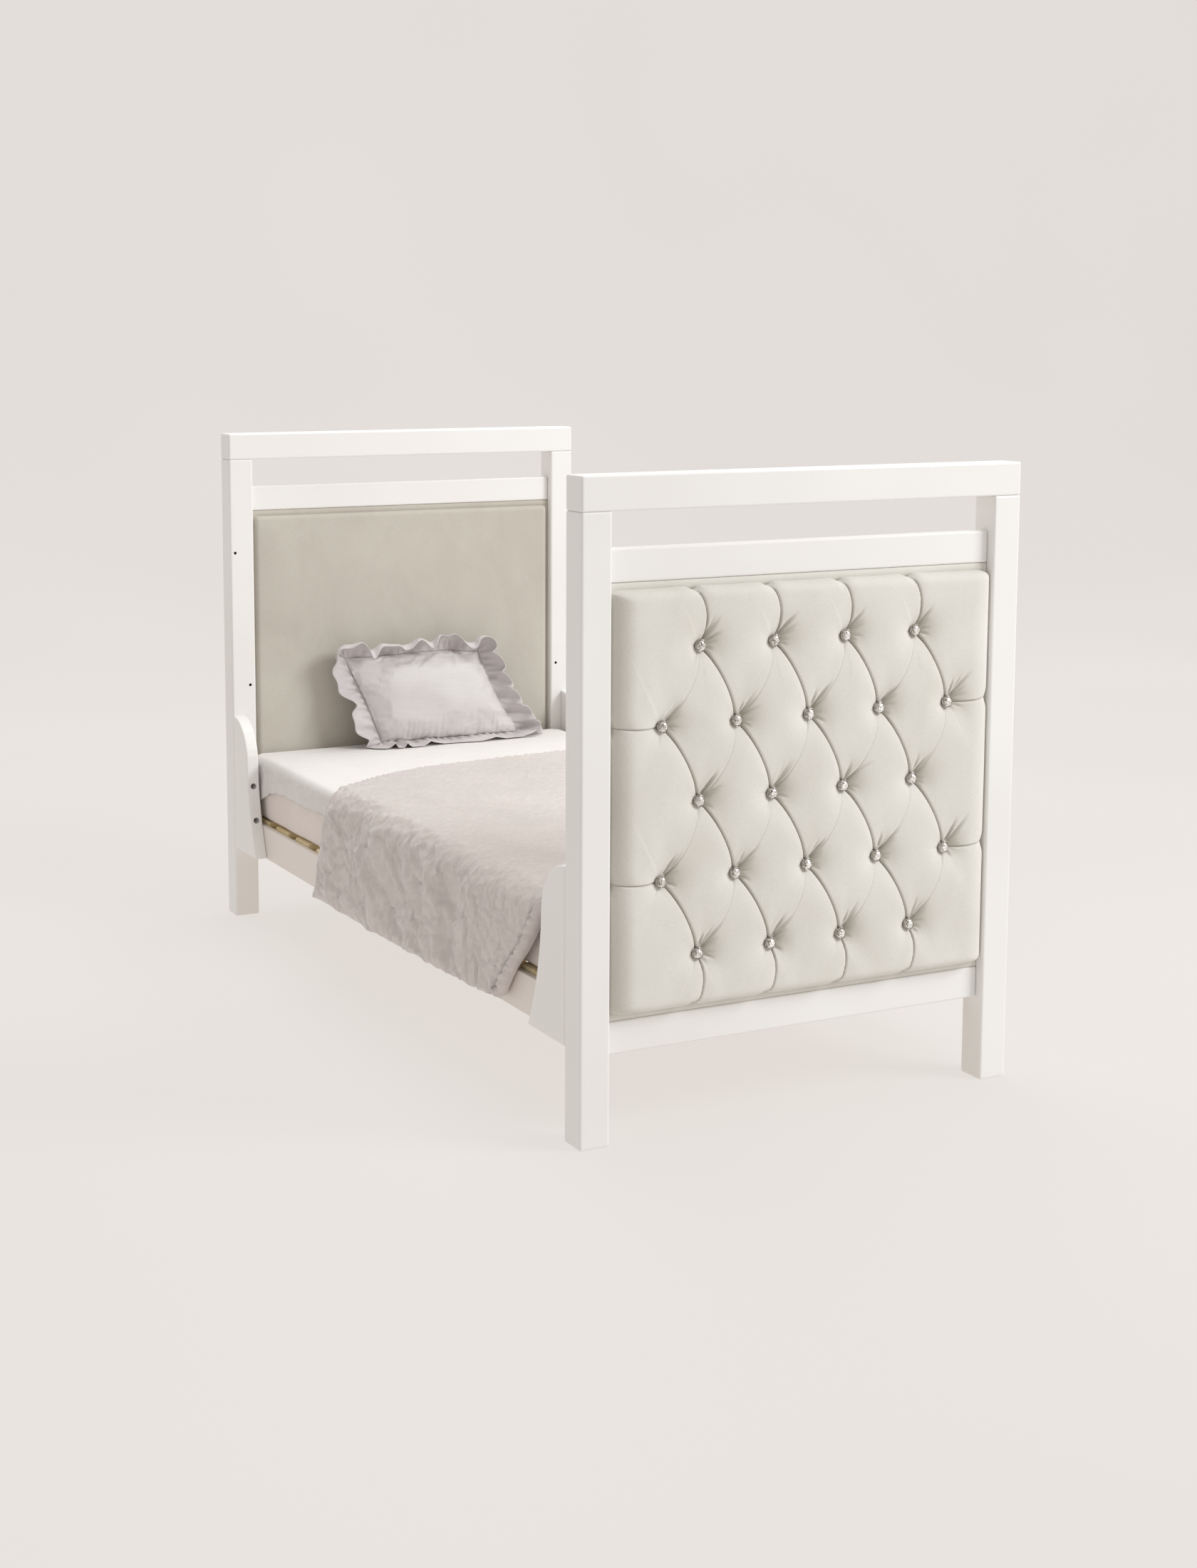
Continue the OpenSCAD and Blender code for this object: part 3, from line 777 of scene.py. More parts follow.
def cut_gem():
    """Round brilliant: a table, star and kite facets, a girdle and a shallow pavilion."""
    sides = 12
    rings = [(0.0010, 0.0008, 0.0), (0.0079, 0.0034, 0.0), (0.0079, 0.0041, 0.0), (0.0064, 0.0062, 0.5),
             (0.0043, 0.0073, 0.0)]
    points = [(r * math.cos(TAU * (i + turn) / sides), -h, r * math.sin(TAU * (i + turn) / sides))
              for r, h, turn in rings for i in range(sides)]
    faces = []
    for k in range(len(rings) - 1):
        turn, next_turn = rings[k][2], rings[k + 1][2]
        for i in range(sides):
            a, b = k * sides + i, k * sides + (i + 1) % sides
            c, d = a + sides, b + sides
            if turn == next_turn:
                faces.append((b, a, c, d))
            elif next_turn > turn:
                faces += [(b, a, c), (b, c, d)]
            else:
                faces += [(b, a, d), (a, c, d)]
    faces.append(tuple(range(sides)))
    faces.append(tuple((len(rings) - 1) * sides + i for i in reversed(range(sides))))
    return np.array(points), faces


def at_every_button(points, faces, seat_y):
    """One mesh with a copy at every button, each turned a little further."""
    copies = []
    for n, (x, z, _) in enumerate(button_places()):
        c, s = math.cos(BUTTON_TURN * n), math.sin(BUTTON_TURN * n)
        spun = points.copy()
        spun[:, 0] = points[:, 0] * c - points[:, 2] * s
        spun[:, 2] = points[:, 0] * s + points[:, 2] * c
        copies.append(spun + np.array([x, seat_y, z]))
    return repeated(copies, faces)


def add_buttons():
    seat_y = PAD_LOW.y + 0.010
    cup = lathe([(0.0085, -0.0010), (0.0095, 0.0), (0.0097, 0.0022), (0.0094, 0.0044), (0.0088, 0.0048),
                 (0.0081, 0.0045), (0.0079, 0.0036), (0.0078, 0.0010), (0.0010, 0.0004)], 32)
    claw, claw_faces = lathe([(0.0010, 0.0040), (0.0011, 0.0048), (0.0006, 0.0053)], 8)
    round_the_cup = [np.array([CLAW_RADIUS * math.cos(a), 0, CLAW_RADIUS * math.sin(a)])
                     for a in (TAU * k / CLAWS for k in range(CLAWS))]
    claws = repeated([claw + way for way in round_the_cup], claw_faces)
    kinds = (("cups", at_every_button(*cup, seat_y), SILVER, True),
             ("claws", at_every_button(*claws, seat_y), SILVER, True),
             ("gems", at_every_button(*cut_gem(), seat_y), CRYSTAL, False))
    for end in ("foot", "head"):
        for kind, (points, faces), material, smooth in kinds:
            place = points if end == "foot" else turned_round(points)
            piece = mesh_object(f"{end}_button_{kind}", place, faces, material, smooth)
            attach(piece, "bed_frame")
            if kind == "cups":
                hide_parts(f"{end}_buttons")


# ---- Peg-hole sleeves: painted shade ----

def add_hole_shade_sleeves():
    """Dark sleeves that line the spare peg holes in the posts' inner faces, painting in the shade inside
    them.
    """
    face_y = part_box("head_post_left")[0].y
    sleeve, faces = lathe([(0.0008, -0.0125), (0.0028, -0.0122), (0.0028, -0.0006), (0.0026, -0.0003),
                           (0.0024, -0.0006), (0.0023, -0.0108), (0.0008, -0.0112)], 24)
    points, faces = repeated([sleeve + np.array([x, face_y, z]) for x, z in HEAD_HOLES], faces)
    for end, place in (("head", points), ("foot", turned_round(points))):
        sleeves = mesh_object(f"{end}_hole_shade_sleeves", place, faces, STEEL)
        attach(sleeves, "bed_frame")


# ---- Flat pads ----

def closer_at_ends(count):
    """Steps from 0 to 1 that are smaller near both ends."""
    even = np.linspace(0, 1, count)
    return 0.5 * (0.5 - 0.5 * np.cos(np.pi * even)) + 0.5 * even


def flat_front(low, high):
    """Grid of points over the flat pad's face, which looks towards +Y."""
    z, x = np.meshgrid(low.z + (high.z - low.z) * closer_at_ends(106),
                       low.x + (high.x - low.x) * closer_at_ends(112), indexing="ij")
    edge_x = np.minimum(x - low.x, high.x - x)
    edge_z = np.minimum(z - low.z, high.z - z)
    fall = np.clip(np.hypot(*(np.clip(1 - edge / FLAT_EDGE, 0, 1) for edge in (edge_x, edge_z))), 0, 1)
    swell = 0.0004 * value_noise(np.stack([x, np.zeros_like(x), z], axis=-1), 0.22, 5)
    middle = ease(np.minimum(edge_x, edge_z), 0, 0.12)
    height = (high.y - low.y) + 0.0012 * middle + swell * middle
    height -= (height - 0.003) * (1 - np.sqrt(1 - fall ** 2))
    return np.stack([x, low.y + height, z], axis=-1)[:, ::-1]


def add_flat_pads():
    low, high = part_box("foot_flat_pad")
    points, faces = slab_from_front(flat_front(low, high), low.y + PAD_BACK_GAP)
    for end, place in both_ends(points):
        pad = mesh_object(f"{end}_flat_padding", place, faces, FLAT_VELVET)
        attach(pad, "bed_frame")
        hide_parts(f"{end}_flat_pad")


# ---- Mattress and fitted sheet ----

MATTRESS_LOW, MATTRESS_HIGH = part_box("mattress")
BEDDING_FLOOR = MATTRESS_HIGH.z + MATTRESS_CROWN + 0.0035

# Points of a ring round the mattress: across, along, in each corner, and the middle of its head end.
LOOP_X = 56
LOOP_Y = 120
LOOP_CORNER = 10
LOOP_END_MIDDLE = 2 * LOOP_CORNER + LOOP_Y + LOOP_X // 2


def rounded_loop(inset, z, grow):
    """One ring of points round the mattress: inset from its side, at height z."""
    radius = max(MATTRESS_RADIUS * 1.5 + grow - inset, 0.0015)
    low = np.array([MATTRESS_LOW.x, MATTRESS_LOW.y]) - grow + inset + radius
    high = np.array([MATTRESS_HIGH.x, MATTRESS_HIGH.y]) + grow - inset - radius
    corners = [(high[0], low[1]), (high[0], high[1]), (low[0], high[1]), (low[0], low[1])]
    points = []
    for k, (cx, cy) in enumerate(corners):
        turn = 90 * k - 90
        for a in np.radians(np.linspace(turn, turn + 90, LOOP_CORNER, endpoint=False)):
            points.append((cx + radius * math.cos(a), cy + radius * math.sin(a), z))
        end = math.radians(turn + 90)
        start, stop = (np.array([x + radius * math.cos(end), y + radius * math.sin(end)])
                       for x, y in (corners[k], corners[(k + 1) % 4]))
        for t in np.linspace(0, 1, (LOOP_Y, LOOP_X)[k % 2], endpoint=False):
            points.append((*(start + (stop - start) * t), z))
    return np.array(points)


def top_rings(from_z, grow):
    """(inset, height) of each ring from height from_z up the side and over the top to the middle."""
    top = MATTRESS_HIGH.z + grow
    radius = MATTRESS_RADIUS
    rings = [(0.0, z) for z in np.linspace(from_z, top - radius, 9)]
    rings += [(radius * (1 - math.cos(a)), top - radius + radius * math.sin(a))
              for a in np.radians([15, 30, 45, 60, 75, 90])]
    return rings + [(d, top) for d in np.linspace(radius + 0.012, 0.335, 22)]


def mattress_rings():
    """The rings of top_rings, with those under the mattress and round its lower edge before them."""
    low = MATTRESS_LOW.z
    radius = MATTRESS_RADIUS * 0.6
    rings = [(d, low) for d in (0.34, 0.25, 0.15, 0.08, 0.03)]
    rings += [(radius * (1 - math.sin(a)), low + radius * (1 - math.cos(a)))
              for a in np.radians([15, 40, 65, 90])]
    return rings + top_rings(low + radius + 0.008, 0.0)


def shape_mattress(points):
    """Points with soft unevenness in the sides, top and head end, and 1 for each point on a side."""
    p = points.copy()
    middle_z = (MATTRESS_LOW.z + MATTRESS_HIGH.z) / 2
    side = np.clip(1 - np.abs(p[:, 2] - middle_z) / 0.06, 0, 1) ** 0.5
    from_x = np.minimum(p[:, 0] - MATTRESS_LOW.x, MATTRESS_HIGH.x - p[:, 0])
    from_y = np.minimum(p[:, 1] - MATTRESS_LOW.y, MATTRESS_HIGH.y - p[:, 1])
    outward = np.zeros((len(p), 3))
    outward[:, 0] = np.where(from_x < from_y, np.sign(p[:, 0]), 0)
    outward[:, 1] = np.where(from_x < from_y, 0, np.sign(p[:, 1]))
    on_side = (np.minimum(from_x, from_y) < 0.012).astype(float)
    swell = 0.0015 * side + 0.0012 * value_noise(p, 0.30, 3) * side
    p += outward * (swell * on_side)[:, None]
    top = ease(p[:, 2], MATTRESS_HIGH.z - 0.03, MATTRESS_HIGH.z)
    uncovered = ease(points[:, 1], 0.40, 0.60)
    p[:, 2] += (0.0010 * value_noise(points, 0.45, 8) - 0.0014) * (1 - 0.5 * uncovered) * top
    p[:, 2] += MATTRESS_CROWN * uncovered * top
    p[:, 1] += MATTRESS_HEAD_SWELL * ease(points[:, 1], MATTRESS_HIGH.y - 0.06, MATTRESS_HIGH.y)
    p[:, 0] += np.sign(p[:, 0]) * 0.004 * ease(np.abs(p[:, 0]), 0.30, 0.35) * uncovered
    return p, on_side


def add_mattress():
    loops = [rounded_loop(inset + MATTRESS_SHRINK, z, 0.0) for inset, z in mattress_rings()]
    count = len(loops[0])
    straight = np.vstack(loops)
    points, on_side = shape_mattress(straight)
    low = 1 - ease(points[:, 2], MATTRESS_LOW.z, MATTRESS_LOW.z + 0.03)
    points[:, 2] += 0.0022 * np.clip(value_noise(straight, 0.16, 12), 0, 2) * low * on_side
    centre_low = loops[0].mean(0)
    centre_high = loops[-1].mean(0) - np.array([0, 0, 0.0016])
    size = len(points)
    points = np.vstack([points, centre_low[None], centre_high[None]])
    faces = grid_faces(len(loops), count, wrap=True)
    faces += fan(list(range(count)), size, flip=True) + fan(list(range(size - count, size)), size + 1)
    mattress = mesh_object("mattress_body", points, faces, TICKING)
    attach(mattress, "mattress")
    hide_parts("mattress")


def corner_distance(points):
    """How far points are from the mattress's nearest upright edge."""
    return np.min([np.hypot(points[:, 0] - x, points[:, 1] - y)
                   for x in (MATTRESS_LOW.x, MATTRESS_HIGH.x)
                   for y in (MATTRESS_LOW.y, MATTRESS_HIGH.y)], axis=0)


def sheet_layer(grow):
    """The sheet's surface, standing grow outside the mattress, with its hem gathered by elastic."""
    loops = [rounded_loop(inset, z, grow) for inset, z in top_rings(SHEET_HEM_Z, grow)]
    points = np.vstack(loops)
    at_corner = bell(corner_distance(points), 0.085)
    on_side = ease(MATTRESS_HIGH.z - 0.012 - points[:, 2], 0, 0.02)
    hem_top = MATTRESS_HIGH.z - 0.025
    hem = np.clip((hem_top - points[:, 2]) / (hem_top - SHEET_HEM_Z), 0, 1)
    drop = 0.044 * at_corner + 0.0015 * value_noise(points * np.array([1, 1, 0]), 0.25, 21)
    points[:, 2] -= drop * hem
    along = np.arctan2(points[:, 1] - np.sign(points[:, 1]) * (MATTRESS_HIGH.y - 0.05),
                       points[:, 0] - np.sign(points[:, 0]) * 0.30)
    folds = np.sin(along * 26 + 1.5 * np.sin(along * 7)) * at_corner
    centre = np.array([0, (MATTRESS_LOW.y + MATTRESS_HIGH.y) / 2])
    flat = points[:, :2] - np.clip(points[:, :2] - centre, [-0.30, -0.63], [0.30, 0.63]) - centre
    outward = flat / np.maximum(np.linalg.norm(flat, axis=1), 1e-9)[:, None]
    amount = (0.0018 * folds * (0.35 + hem) + 0.0010 * value_noise(points, 0.07, 31) * hem
              + 0.0006) * on_side
    points[:, :2] += outward * amount[:, None]
    return shape_mattress(points)[0], len(loops), len(loops[0])


def add_fitted_sheet():
    outer, rings, count = sheet_layer(SHEET_THICKNESS + SHEET_GAP)
    side = ease(MATTRESS_HIGH.z - 0.006 - outer[:, 2], 0, 0.02)
    held = 1.0 - 0.93 * side * (0.45 + 0.55 * bell(corner_distance(outer), 0.20))
    outer = crumpled(outer, grid_faces(rings, count, wrap=True), held,
                     growth=0.03, pressure=0.0, cap=0.0028)
    normals = grid_normals(outer.reshape(rings, count, 3), wrap=True).reshape(-1, 3)
    points = np.vstack([outer, outer - normals * SHEET_THICKNESS])
    last = [(rings - 1) * count + (i + LOOP_END_MIDDLE) % count for i in range(count)]
    faces = two_skins(rings, count) + laced(last) + laced([len(outer) + i for i in last], flip=True)
    sheet = mesh_object("fitted_sheet_cloth", points, faces, COTTON)
    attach(sheet, "mattress")
    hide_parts("fitted_sheet")


# ---- Duvet ----

DUVET_LOW, DUVET_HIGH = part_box("duvet")
DUVET_HALF = DUVET_HIGH.x
FLAP_TOP = DUVET_HIGH.z - DUVET_SHOULDER
FLAP_LENGTH = FLAP_TOP - DUVET_LOW.z
ARC_LENGTH = DUVET_SHOULDER * math.pi / 2
TOP_LENGTH = 2 * (DUVET_HALF - DUVET_SHOULDER)
DUVET_SPAN = 2 * FLAP_LENGTH + 2 * ARC_LENGTH + TOP_LENGTH

# Head and foot edges of the duvet against the distance from its left hem, round over the bed.
HEAD_EDGE = [(0, 0.300), (0.09, 0.262), (0.183, 0.226), (0.22, 0.216), (0.254, 0.232), (0.32, 0.274),
             (0.434, 0.326), (0.587, 0.348), (0.827, 0.372), (0.952, 0.390), (1.022, 0.384),
             (1.115, 0.402), (1.205, 0.430)]
FOOT_EDGE = [(0, -0.498), (0.06, -0.540), (0.116, -0.590), (0.183, -0.636), (0.22, -0.660),
             (0.27, -0.694), (0.34, -0.712), (0.60, -0.713), (0.865, -0.712), (0.935, -0.694),
             (0.985, -0.660), (1.022, -0.636), (1.089, -0.590), (1.145, -0.540), (1.205, -0.498)]
HEM_RISE = [(-0.53, 0.020), (-0.29, 0.010), (0.0, 0.002), (0.30, 0.0), (0.44, 0.0)]


def along_curve(table, x):
    """Smooth curve through a table of (x, y), by a cubic through each pair of neighbours."""
    xs, ys = np.array(table).T
    slopes = np.gradient(ys, xs)
    i = np.clip(np.searchsorted(xs, x) - 1, 0, len(xs) - 2)
    h = xs[i + 1] - xs[i]
    t = np.clip((x - xs[i]) / h, 0, 1)
    return ((2 * t ** 3 - 3 * t ** 2 + 1) * ys[i] + (t ** 3 - 2 * t ** 2 + t) * h * slopes[i]
            + (-2 * t ** 3 + 3 * t ** 2) * ys[i + 1] + (t ** 3 - t ** 2) * h * slopes[i + 1])


def over_the_bed(s, y, depth):
    """Point of the duvet, s along it from the left hem and depth under its outer surface."""
    left = s < DUVET_SPAN / 2
    from_hem = np.where(left, s, DUVET_SPAN - s)
    rise = along_curve(HEM_RISE, y)
    arc = np.clip((from_hem - FLAP_LENGTH) / ARC_LENGTH, 0, 1) * math.pi / 2
    radius = DUVET_SHOULDER - depth
    x = DUVET_HALF - DUVET_SHOULDER + radius * np.cos(arc)
    z = FLAP_TOP + radius * np.sin(arc)
    on_flap = from_hem < FLAP_LENGTH
    share = np.clip(from_hem / FLAP_LENGTH, -1, 1)
    z = np.where(on_flap, DUVET_LOW.z + rise + share * (FLAP_LENGTH - rise), z)
    x = np.where(from_hem > FLAP_LENGTH + ARC_LENGTH, x - (from_hem - FLAP_LENGTH - ARC_LENGTH), x)
    return np.stack([np.where(left, -x, x), y, z], axis=-1)


def duvet_grids():
    """Place round the bed, y and distance to the edge, over the duvet's outline."""
    columns = int(DUVET_SPAN / DUVET_GRID) + 1
    rows = int((DUVET_HIGH.y - DUVET_LOW.y) / DUVET_GRID) + 1
    v, s = np.meshgrid(np.linspace(0, 1, rows), np.linspace(0, DUVET_SPAN, columns), indexing="ij")
    foot, head = along_curve(FOOT_EDGE, s), along_curve(HEAD_EDGE, s)
    y = foot + (head - foot) * v
    edge = np.minimum(np.minimum(s, DUVET_SPAN - s), np.minimum(y - foot, head - y))
    return s, y, np.maximum(edge, 0)


def duvet_folds(s, y, edge):
    """Height of the duvet's folds: long ones down its sides, small crinkles, and puckers by the hem."""
    from_hem = np.minimum(s, DUVET_SPAN - s)
    from_foot = y - along_curve(FOOT_EDGE, s)
    hang = 1 - ease(from_hem, FLAP_LENGTH - 0.03, FLAP_LENGTH + 0.10)
    long_folds = value_noise(planar(y + 0.35 * from_hem, from_hem * 0.22), 0.11, 51)
    crinkle_a = 1 - np.abs(value_noise(planar(s, y), 0.055, 52))
    crinkle_b = 1 - np.abs(value_noise(planar(s, y * 0.6), 0.027, 53))
    broad = value_noise(planar(s * 0.5, y * 1.5), 0.30, 54)
    pucker = np.sin(y * TAU / 0.021 + 2.2 * np.sin(y * 31)) * bell(from_hem, 0.045)
    smooth_foot = 0.25 + 0.75 * ease(y, *FADE_Y)
    height = hang * smooth_foot * (0.0022 * long_folds + 0.0021 * crinkle_a + 0.0015 * crinkle_b)
    height += (1 - hang) * (0.0010 * broad + 0.0004 * crinkle_a)
    height += 0.0012 * pucker
    seam = 0.0046 * bell(from_foot - SEAM_INSET, 0.0026) * hang
    gathers = np.sin(from_hem * TAU / 0.015 + 1.5 * np.sin(from_hem * 60))
    gusset = 0.0024 * gathers * bell(from_foot - 0.010, 0.014)
    fan_out = np.sin(11 * np.arctan2(from_hem, from_foot + 0.004)) \
        * bell(np.hypot(from_hem, from_foot) - 0.022, 0.026)
    return height * ease(edge, 0.0, 0.03) - seam + gusset * hang + 0.0022 * fan_out


def duvet_mesh():
    """Points, faces and painted crease shade of the duvet: its outer side crumpled, its inner side plain.
    """
    s, y, edge = duvet_grids()
    rim = np.clip(1 - edge / DUVET_ROUNDING, 0, 1)
    half = DUVET_THICKNESS / 2
    swell = half * np.sqrt(np.clip(1 - rim ** 2, 0, 1))
    outer = over_the_bed(s, y, half - swell - duvet_folds(s, y, edge)).reshape(-1, 3)
    hang = 1 - ease(np.minimum(s, DUVET_SPAN - s), FLAP_LENGTH - 0.02, FLAP_LENGTH + 0.12)
    loose = hang * (0.45 + 0.55 * ease(y, *FADE_Y))
    held = np.where(edge < 0.003, 1.0, 0.95 - 0.89 * loose).ravel()
    outer = crumpled(outer, grid_faces(*s.shape), held, growth=0.06, pressure=0.4, cap=0.009)
    inner = over_the_bed(s, y, half + swell).reshape(-1, 3)
    # Painted shade: a dark line along the seam near the foot edge.
    seam = bell(y - along_curve(FOOT_EDGE, s) - SEAM_INSET, 0.0030) * (1 - ease(edge, 0.020, 0.026))
    outer = np.column_stack([outer, 0.55 * seam.ravel()])
    inner = np.column_stack([inner, np.zeros(len(inner))])
    marked, faces = cushion(outer, inner, s.shape)
    return marked[:, :3], faces, marked[:, 3]


def add_duvet():
    points, faces, crease = duvet_mesh()
    duvet = mesh_object("duvet_quilt", points, faces, DUVET_SATIN)
    keep_values(duvet, "crease", crease)
    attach(duvet, "duvet")
    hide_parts("duvet")


# ---- Pillow and frill ----

ACROSS = np.array([1.0, 0, 0])
PILLOW_UP = np.array([0, math.sin(PILLOW_LEAN), math.cos(PILLOW_LEAN)])
PILLOW_FRONT = np.array([0, -math.cos(PILLOW_LEAN), math.sin(PILLOW_LEAN)])


def on_pillow(u, v, out):
    """World point from pillow coordinates: u across, v up the pillow, out of its front."""
    u, v, out = (np.asarray(a, float)[..., None] for a in (u, v, out))
    return PILLOW_ORIGIN + u * ACROSS + v * PILLOW_UP + out * PILLOW_FRONT


def pillow_outline_point(a, b):
    """Seam-plane point from a, b in -1 to 1: the slumped outline, its sides drawn in a little."""
    half = PILLOW_WIDTH / 2
    v = PILLOW_HEIGHT * (b + 1) / 2
    u = half * a - PILLOW_DRIFT * v / PILLOW_HEIGHT
    u = u - half * 0.030 * a * (1 - b ** 2) + 0.010 * ease(a, 0.3, 1.0) * ease(-b, 0.2, 1.0)
    rise = 0.003 * bell(a - 0.25, 0.5) - 0.002 * bell(a + 0.7, 0.4) - 0.007 * ease(a, 0.5, 1.0)
    v = v + rise * (b + 1) / 2 - PILLOW_HEIGHT * 0.018 * (1 - a ** 2) * (b > 0) * b
    return u, v


def graded(count):
    """Steps from -1 to 1 that are smaller near both ends."""
    return np.sin(np.linspace(-1, 1, count) * math.pi / 2 * GRADING) / math.sin(math.pi / 2 * GRADING)


def pillow_mesh():
    """Two crowned faces that meet at the seam, puffed and puckered by a short cloth simulation."""
    b, a = np.meshgrid(graded(60), graded(92), indexing="ij")
    u, v = pillow_outline_point(a, b)
    dome = ((1 - a ** 2) * (1 - b ** 2)).clip(0) ** 0.36
    gather = np.sin(u * TAU / 0.0125 + 1.9 * np.sin(u * 71)) * np.exp(-(b + 1) / 0.11) \
        * (0.25 + 0.75 * ease(a, -0.75, -0.45) * (1 - ease(a, 0.05, 0.40)))
    side = np.sin(v * TAU / 0.013 + 1.3 * np.sin(v * 90)) * np.exp(-(1 - np.abs(a)) / 0.07)
    loose = 0.0012 * value_noise(planar(u, v), 0.11, 71)
    ripple = (0.0021 * gather + 0.0015 * side + loose) * np.clip(dome * 2.0, 0, 1)
    front = on_pillow(u, v, PILLOW_PUFF * dome + ripple).reshape(-1, 3)
    held = np.full(len(front), 0.04)
    held[border_loop(*u.shape)] = 1.0
    front = crumpled(front, grid_faces(*u.shape), held, growth=0.030, pressure=1.2, cap=0.005)
    back = on_pillow(u, v, -PILLOW_BACK_PUFF * dome).reshape(-1, 3)
    return cushion(front, back, u.shape)


def add_pillow():
    points, faces = pillow_mesh()
    pillow = mesh_object("pillow_body", points, faces, PILLOW_SATIN)
    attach(pillow, "pillow")
    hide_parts("pillow")


# Places round the seam, as shares of the way from the lower left corner, where the ruffle folds in.
FRILL_FOLDS = [0.014, 0.036, 0.09, 0.21, 0.29, 0.325, 0.36, 0.395, 0.43, 0.47, 0.515, 0.605, 0.67, 0.735,
               0.79, 0.895, 0.965]
# How far the ruffle's free edge curls forward, in radians, and how deep its folds are, against the same
# share: along the bottom, up the right side, back over the top and down the left.
FRILL_CURL = [(0.0, 0.8), (0.15, 0.6), (0.29, 0.8), (0.34, 1.1), (0.40, 1.5), (0.46, 1.8), (0.50, 2.3),
              (0.56, 1.95), (0.63, 2.3), (0.70, 2.35), (0.78, 2.1), (0.82, 1.0), (0.90, 0.9), (0.96, 0.8),
              (1.0, 0.8)]
FRILL_DEPTH = [(0.0, 0.7), (0.28, 0.6), (0.33, 0.9), (0.47, 0.9), (0.53, 0.9), (0.62, 0.7), (0.76, 0.6),
               (0.82, 0.5), (0.95, 0.6), (1.0, 0.7)]


def seam_route(count):
    """Points round the pillow's seam, each with the way out of the pillow: rows of (u, v, du, dv)."""
    corners = [(-1, -1), (1, -1), (1, 1), (-1, 1)]
    outs = [np.array(way) for way in ((0, -1), (1, 0), (0, 1), (-1, 0))]
    route = []
    for k in range(4):
        (a0, b0), (a1, b1) = corners[k], corners[(k + 1) % 4]
        share = (PILLOW_WIDTH, PILLOW_HEIGHT)[k % 2] / (2 * (PILLOW_WIDTH + PILLOW_HEIGHT))
        places = [(a0 + (a1 - a0) * t, b0 + (b1 - b0) * t, *outs[k])
                  for t in np.linspace(0, 1, int(count * share), endpoint=False)]
        for turn in np.linspace(0, 1, CORNER_STEPS, endpoint=False) * math.pi / 2:
            places.append((a1, b1, *(outs[k] * math.cos(turn) + outs[(k + 1) % 4] * math.sin(turn))))
        for a, b, du, dv in places:
            u, v = pillow_outline_point(np.array(float(a)), np.array(float(b)))
            route.append((float(u), float(v), du, dv))
    return np.array(route)


def frill_surface(route):
    """Ruffled strip round the seam: rolled forward at the top, standing at the sides, lying below."""
    count = len(route)
    r = np.linspace(0, 1, 19)[:, None]
    phase = np.linspace(0, 1, count, endpoint=False)[None, :]
    du, dv = route[:, 2][None], route[:, 3][None]
    lying = ease(-dv, 0.1, 0.8)
    folds = [FRILL_FOLDS[-1] - 1] + FRILL_FOLDS + [FRILL_FOLDS[0] + 1]
    swing = TAU * np.interp(phase, folds, range(-1, len(FRILL_FOLDS) + 1))
    slant = 0.7 * np.sin(TAU * 3 * phase + 0.4) * r
    strength = along_curve(FRILL_DEPTH, phase[0])[None]
    inward = 1 - (np.sin((swing + slant) / 2) ** 2 + 0.02) ** 0.55
    uneven = np.sin(TAU * 11 * phase + 2.5 * r) + np.sin(TAU * 25 * phase - 1.8 * r + 0.7)
    wave = (2 * inward - 1) * strength + 0.28 * uneven
    small = np.sin(TAU * 62 * phase + 2.0 * np.sin(TAU * 9 * phase))
    curl = along_curve(FRILL_CURL, phase[0])[None]
    lean = 0.10 + 0.20 * wave + (curl + 0.34 * wave) * r
    width = FRILL_WIDTH * (1 - 0.08 * np.cos(TAU * 7 * phase + 1)) * (1 - 0.16 * lying)
    step = width / (len(r) - 1)
    reach = np.cumsum(np.cos(lean) * step, axis=0) - np.cos(lean[:1]) * step
    out = np.cumsum(np.sin(lean) * step, axis=0) - np.sin(lean[:1]) * step
    gathers = 0.0024 * small * bell(r - 0.22, 0.30) * ease(r, 0.0, 0.12)
    sideways = -0.0030 * r * np.sin(swing) * strength

    lift = lying[..., None]
    way = du[..., None] * ACROSS + (dv * (1 - lying))[..., None] * PILLOW_UP \
        + (np.abs(dv) * lying)[..., None] * np.array([0, -1.0, 0])
    face = PILLOW_FRONT * (1 - lift) + np.array([0, 0, 1.0]) * lift
    tangent = (-dv)[..., None] * ACROSS + du[..., None] * PILLOW_UP * (1 - lift)
    seam = on_pillow(route[:, 0], route[:, 1], np.zeros(count))[None]
    arch = 0.021 * r ** 0.6 * inward * strength + 0.7 * gathers - 0.007 * r
    rise = (out + gathers) * (1 - lying) + arch * lying
    ahead = reach * (1 - lying) + width * r * lying
    points = seam + way * ahead[..., None] + face * rise[..., None] + tangent * sideways[..., None]
    return kept_clear(points, 0.0012 * r)


def kept_clear(points, above=0.0):
    """The frill's points, kept above the sheet and in front of the head end."""
    points[..., 2] = np.maximum(points[..., 2], BEDDING_FLOOR + above)
    points[..., 1] = np.minimum(points[..., 1], FRILL_REAR)
    return points


def add_frill():
    surface = frill_surface(seam_route(560))
    shape = surface.shape[:2]
    held = np.full(shape, 0.06)
    held[0] = 1.0
    shell = crumpled(surface.reshape(-1, 3), grid_faces(*shape, wrap=True), held.ravel(),
                     growth=0.07, pressure=0.0, cap=0.0045)
    surface = kept_clear(shell.reshape(*shape, 3))
    normals = grid_normals(surface, wrap=True) * FRILL_THICKNESS / 2
    points = np.vstack([(surface + normals).reshape(-1, 3), (surface - normals).reshape(-1, 3)])
    rim = range((shape[0] - 1) * shape[1], shape[0] * shape[1])
    faces = two_skins(*shape) + band([held.size + i for i in rim], rim)
    frill = mesh_object("pillow_ruffle", points, faces, FRILL_SATIN)
    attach(frill, "pillow")
    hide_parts("pillow_frill")


# ---- Stage, light and camera ----

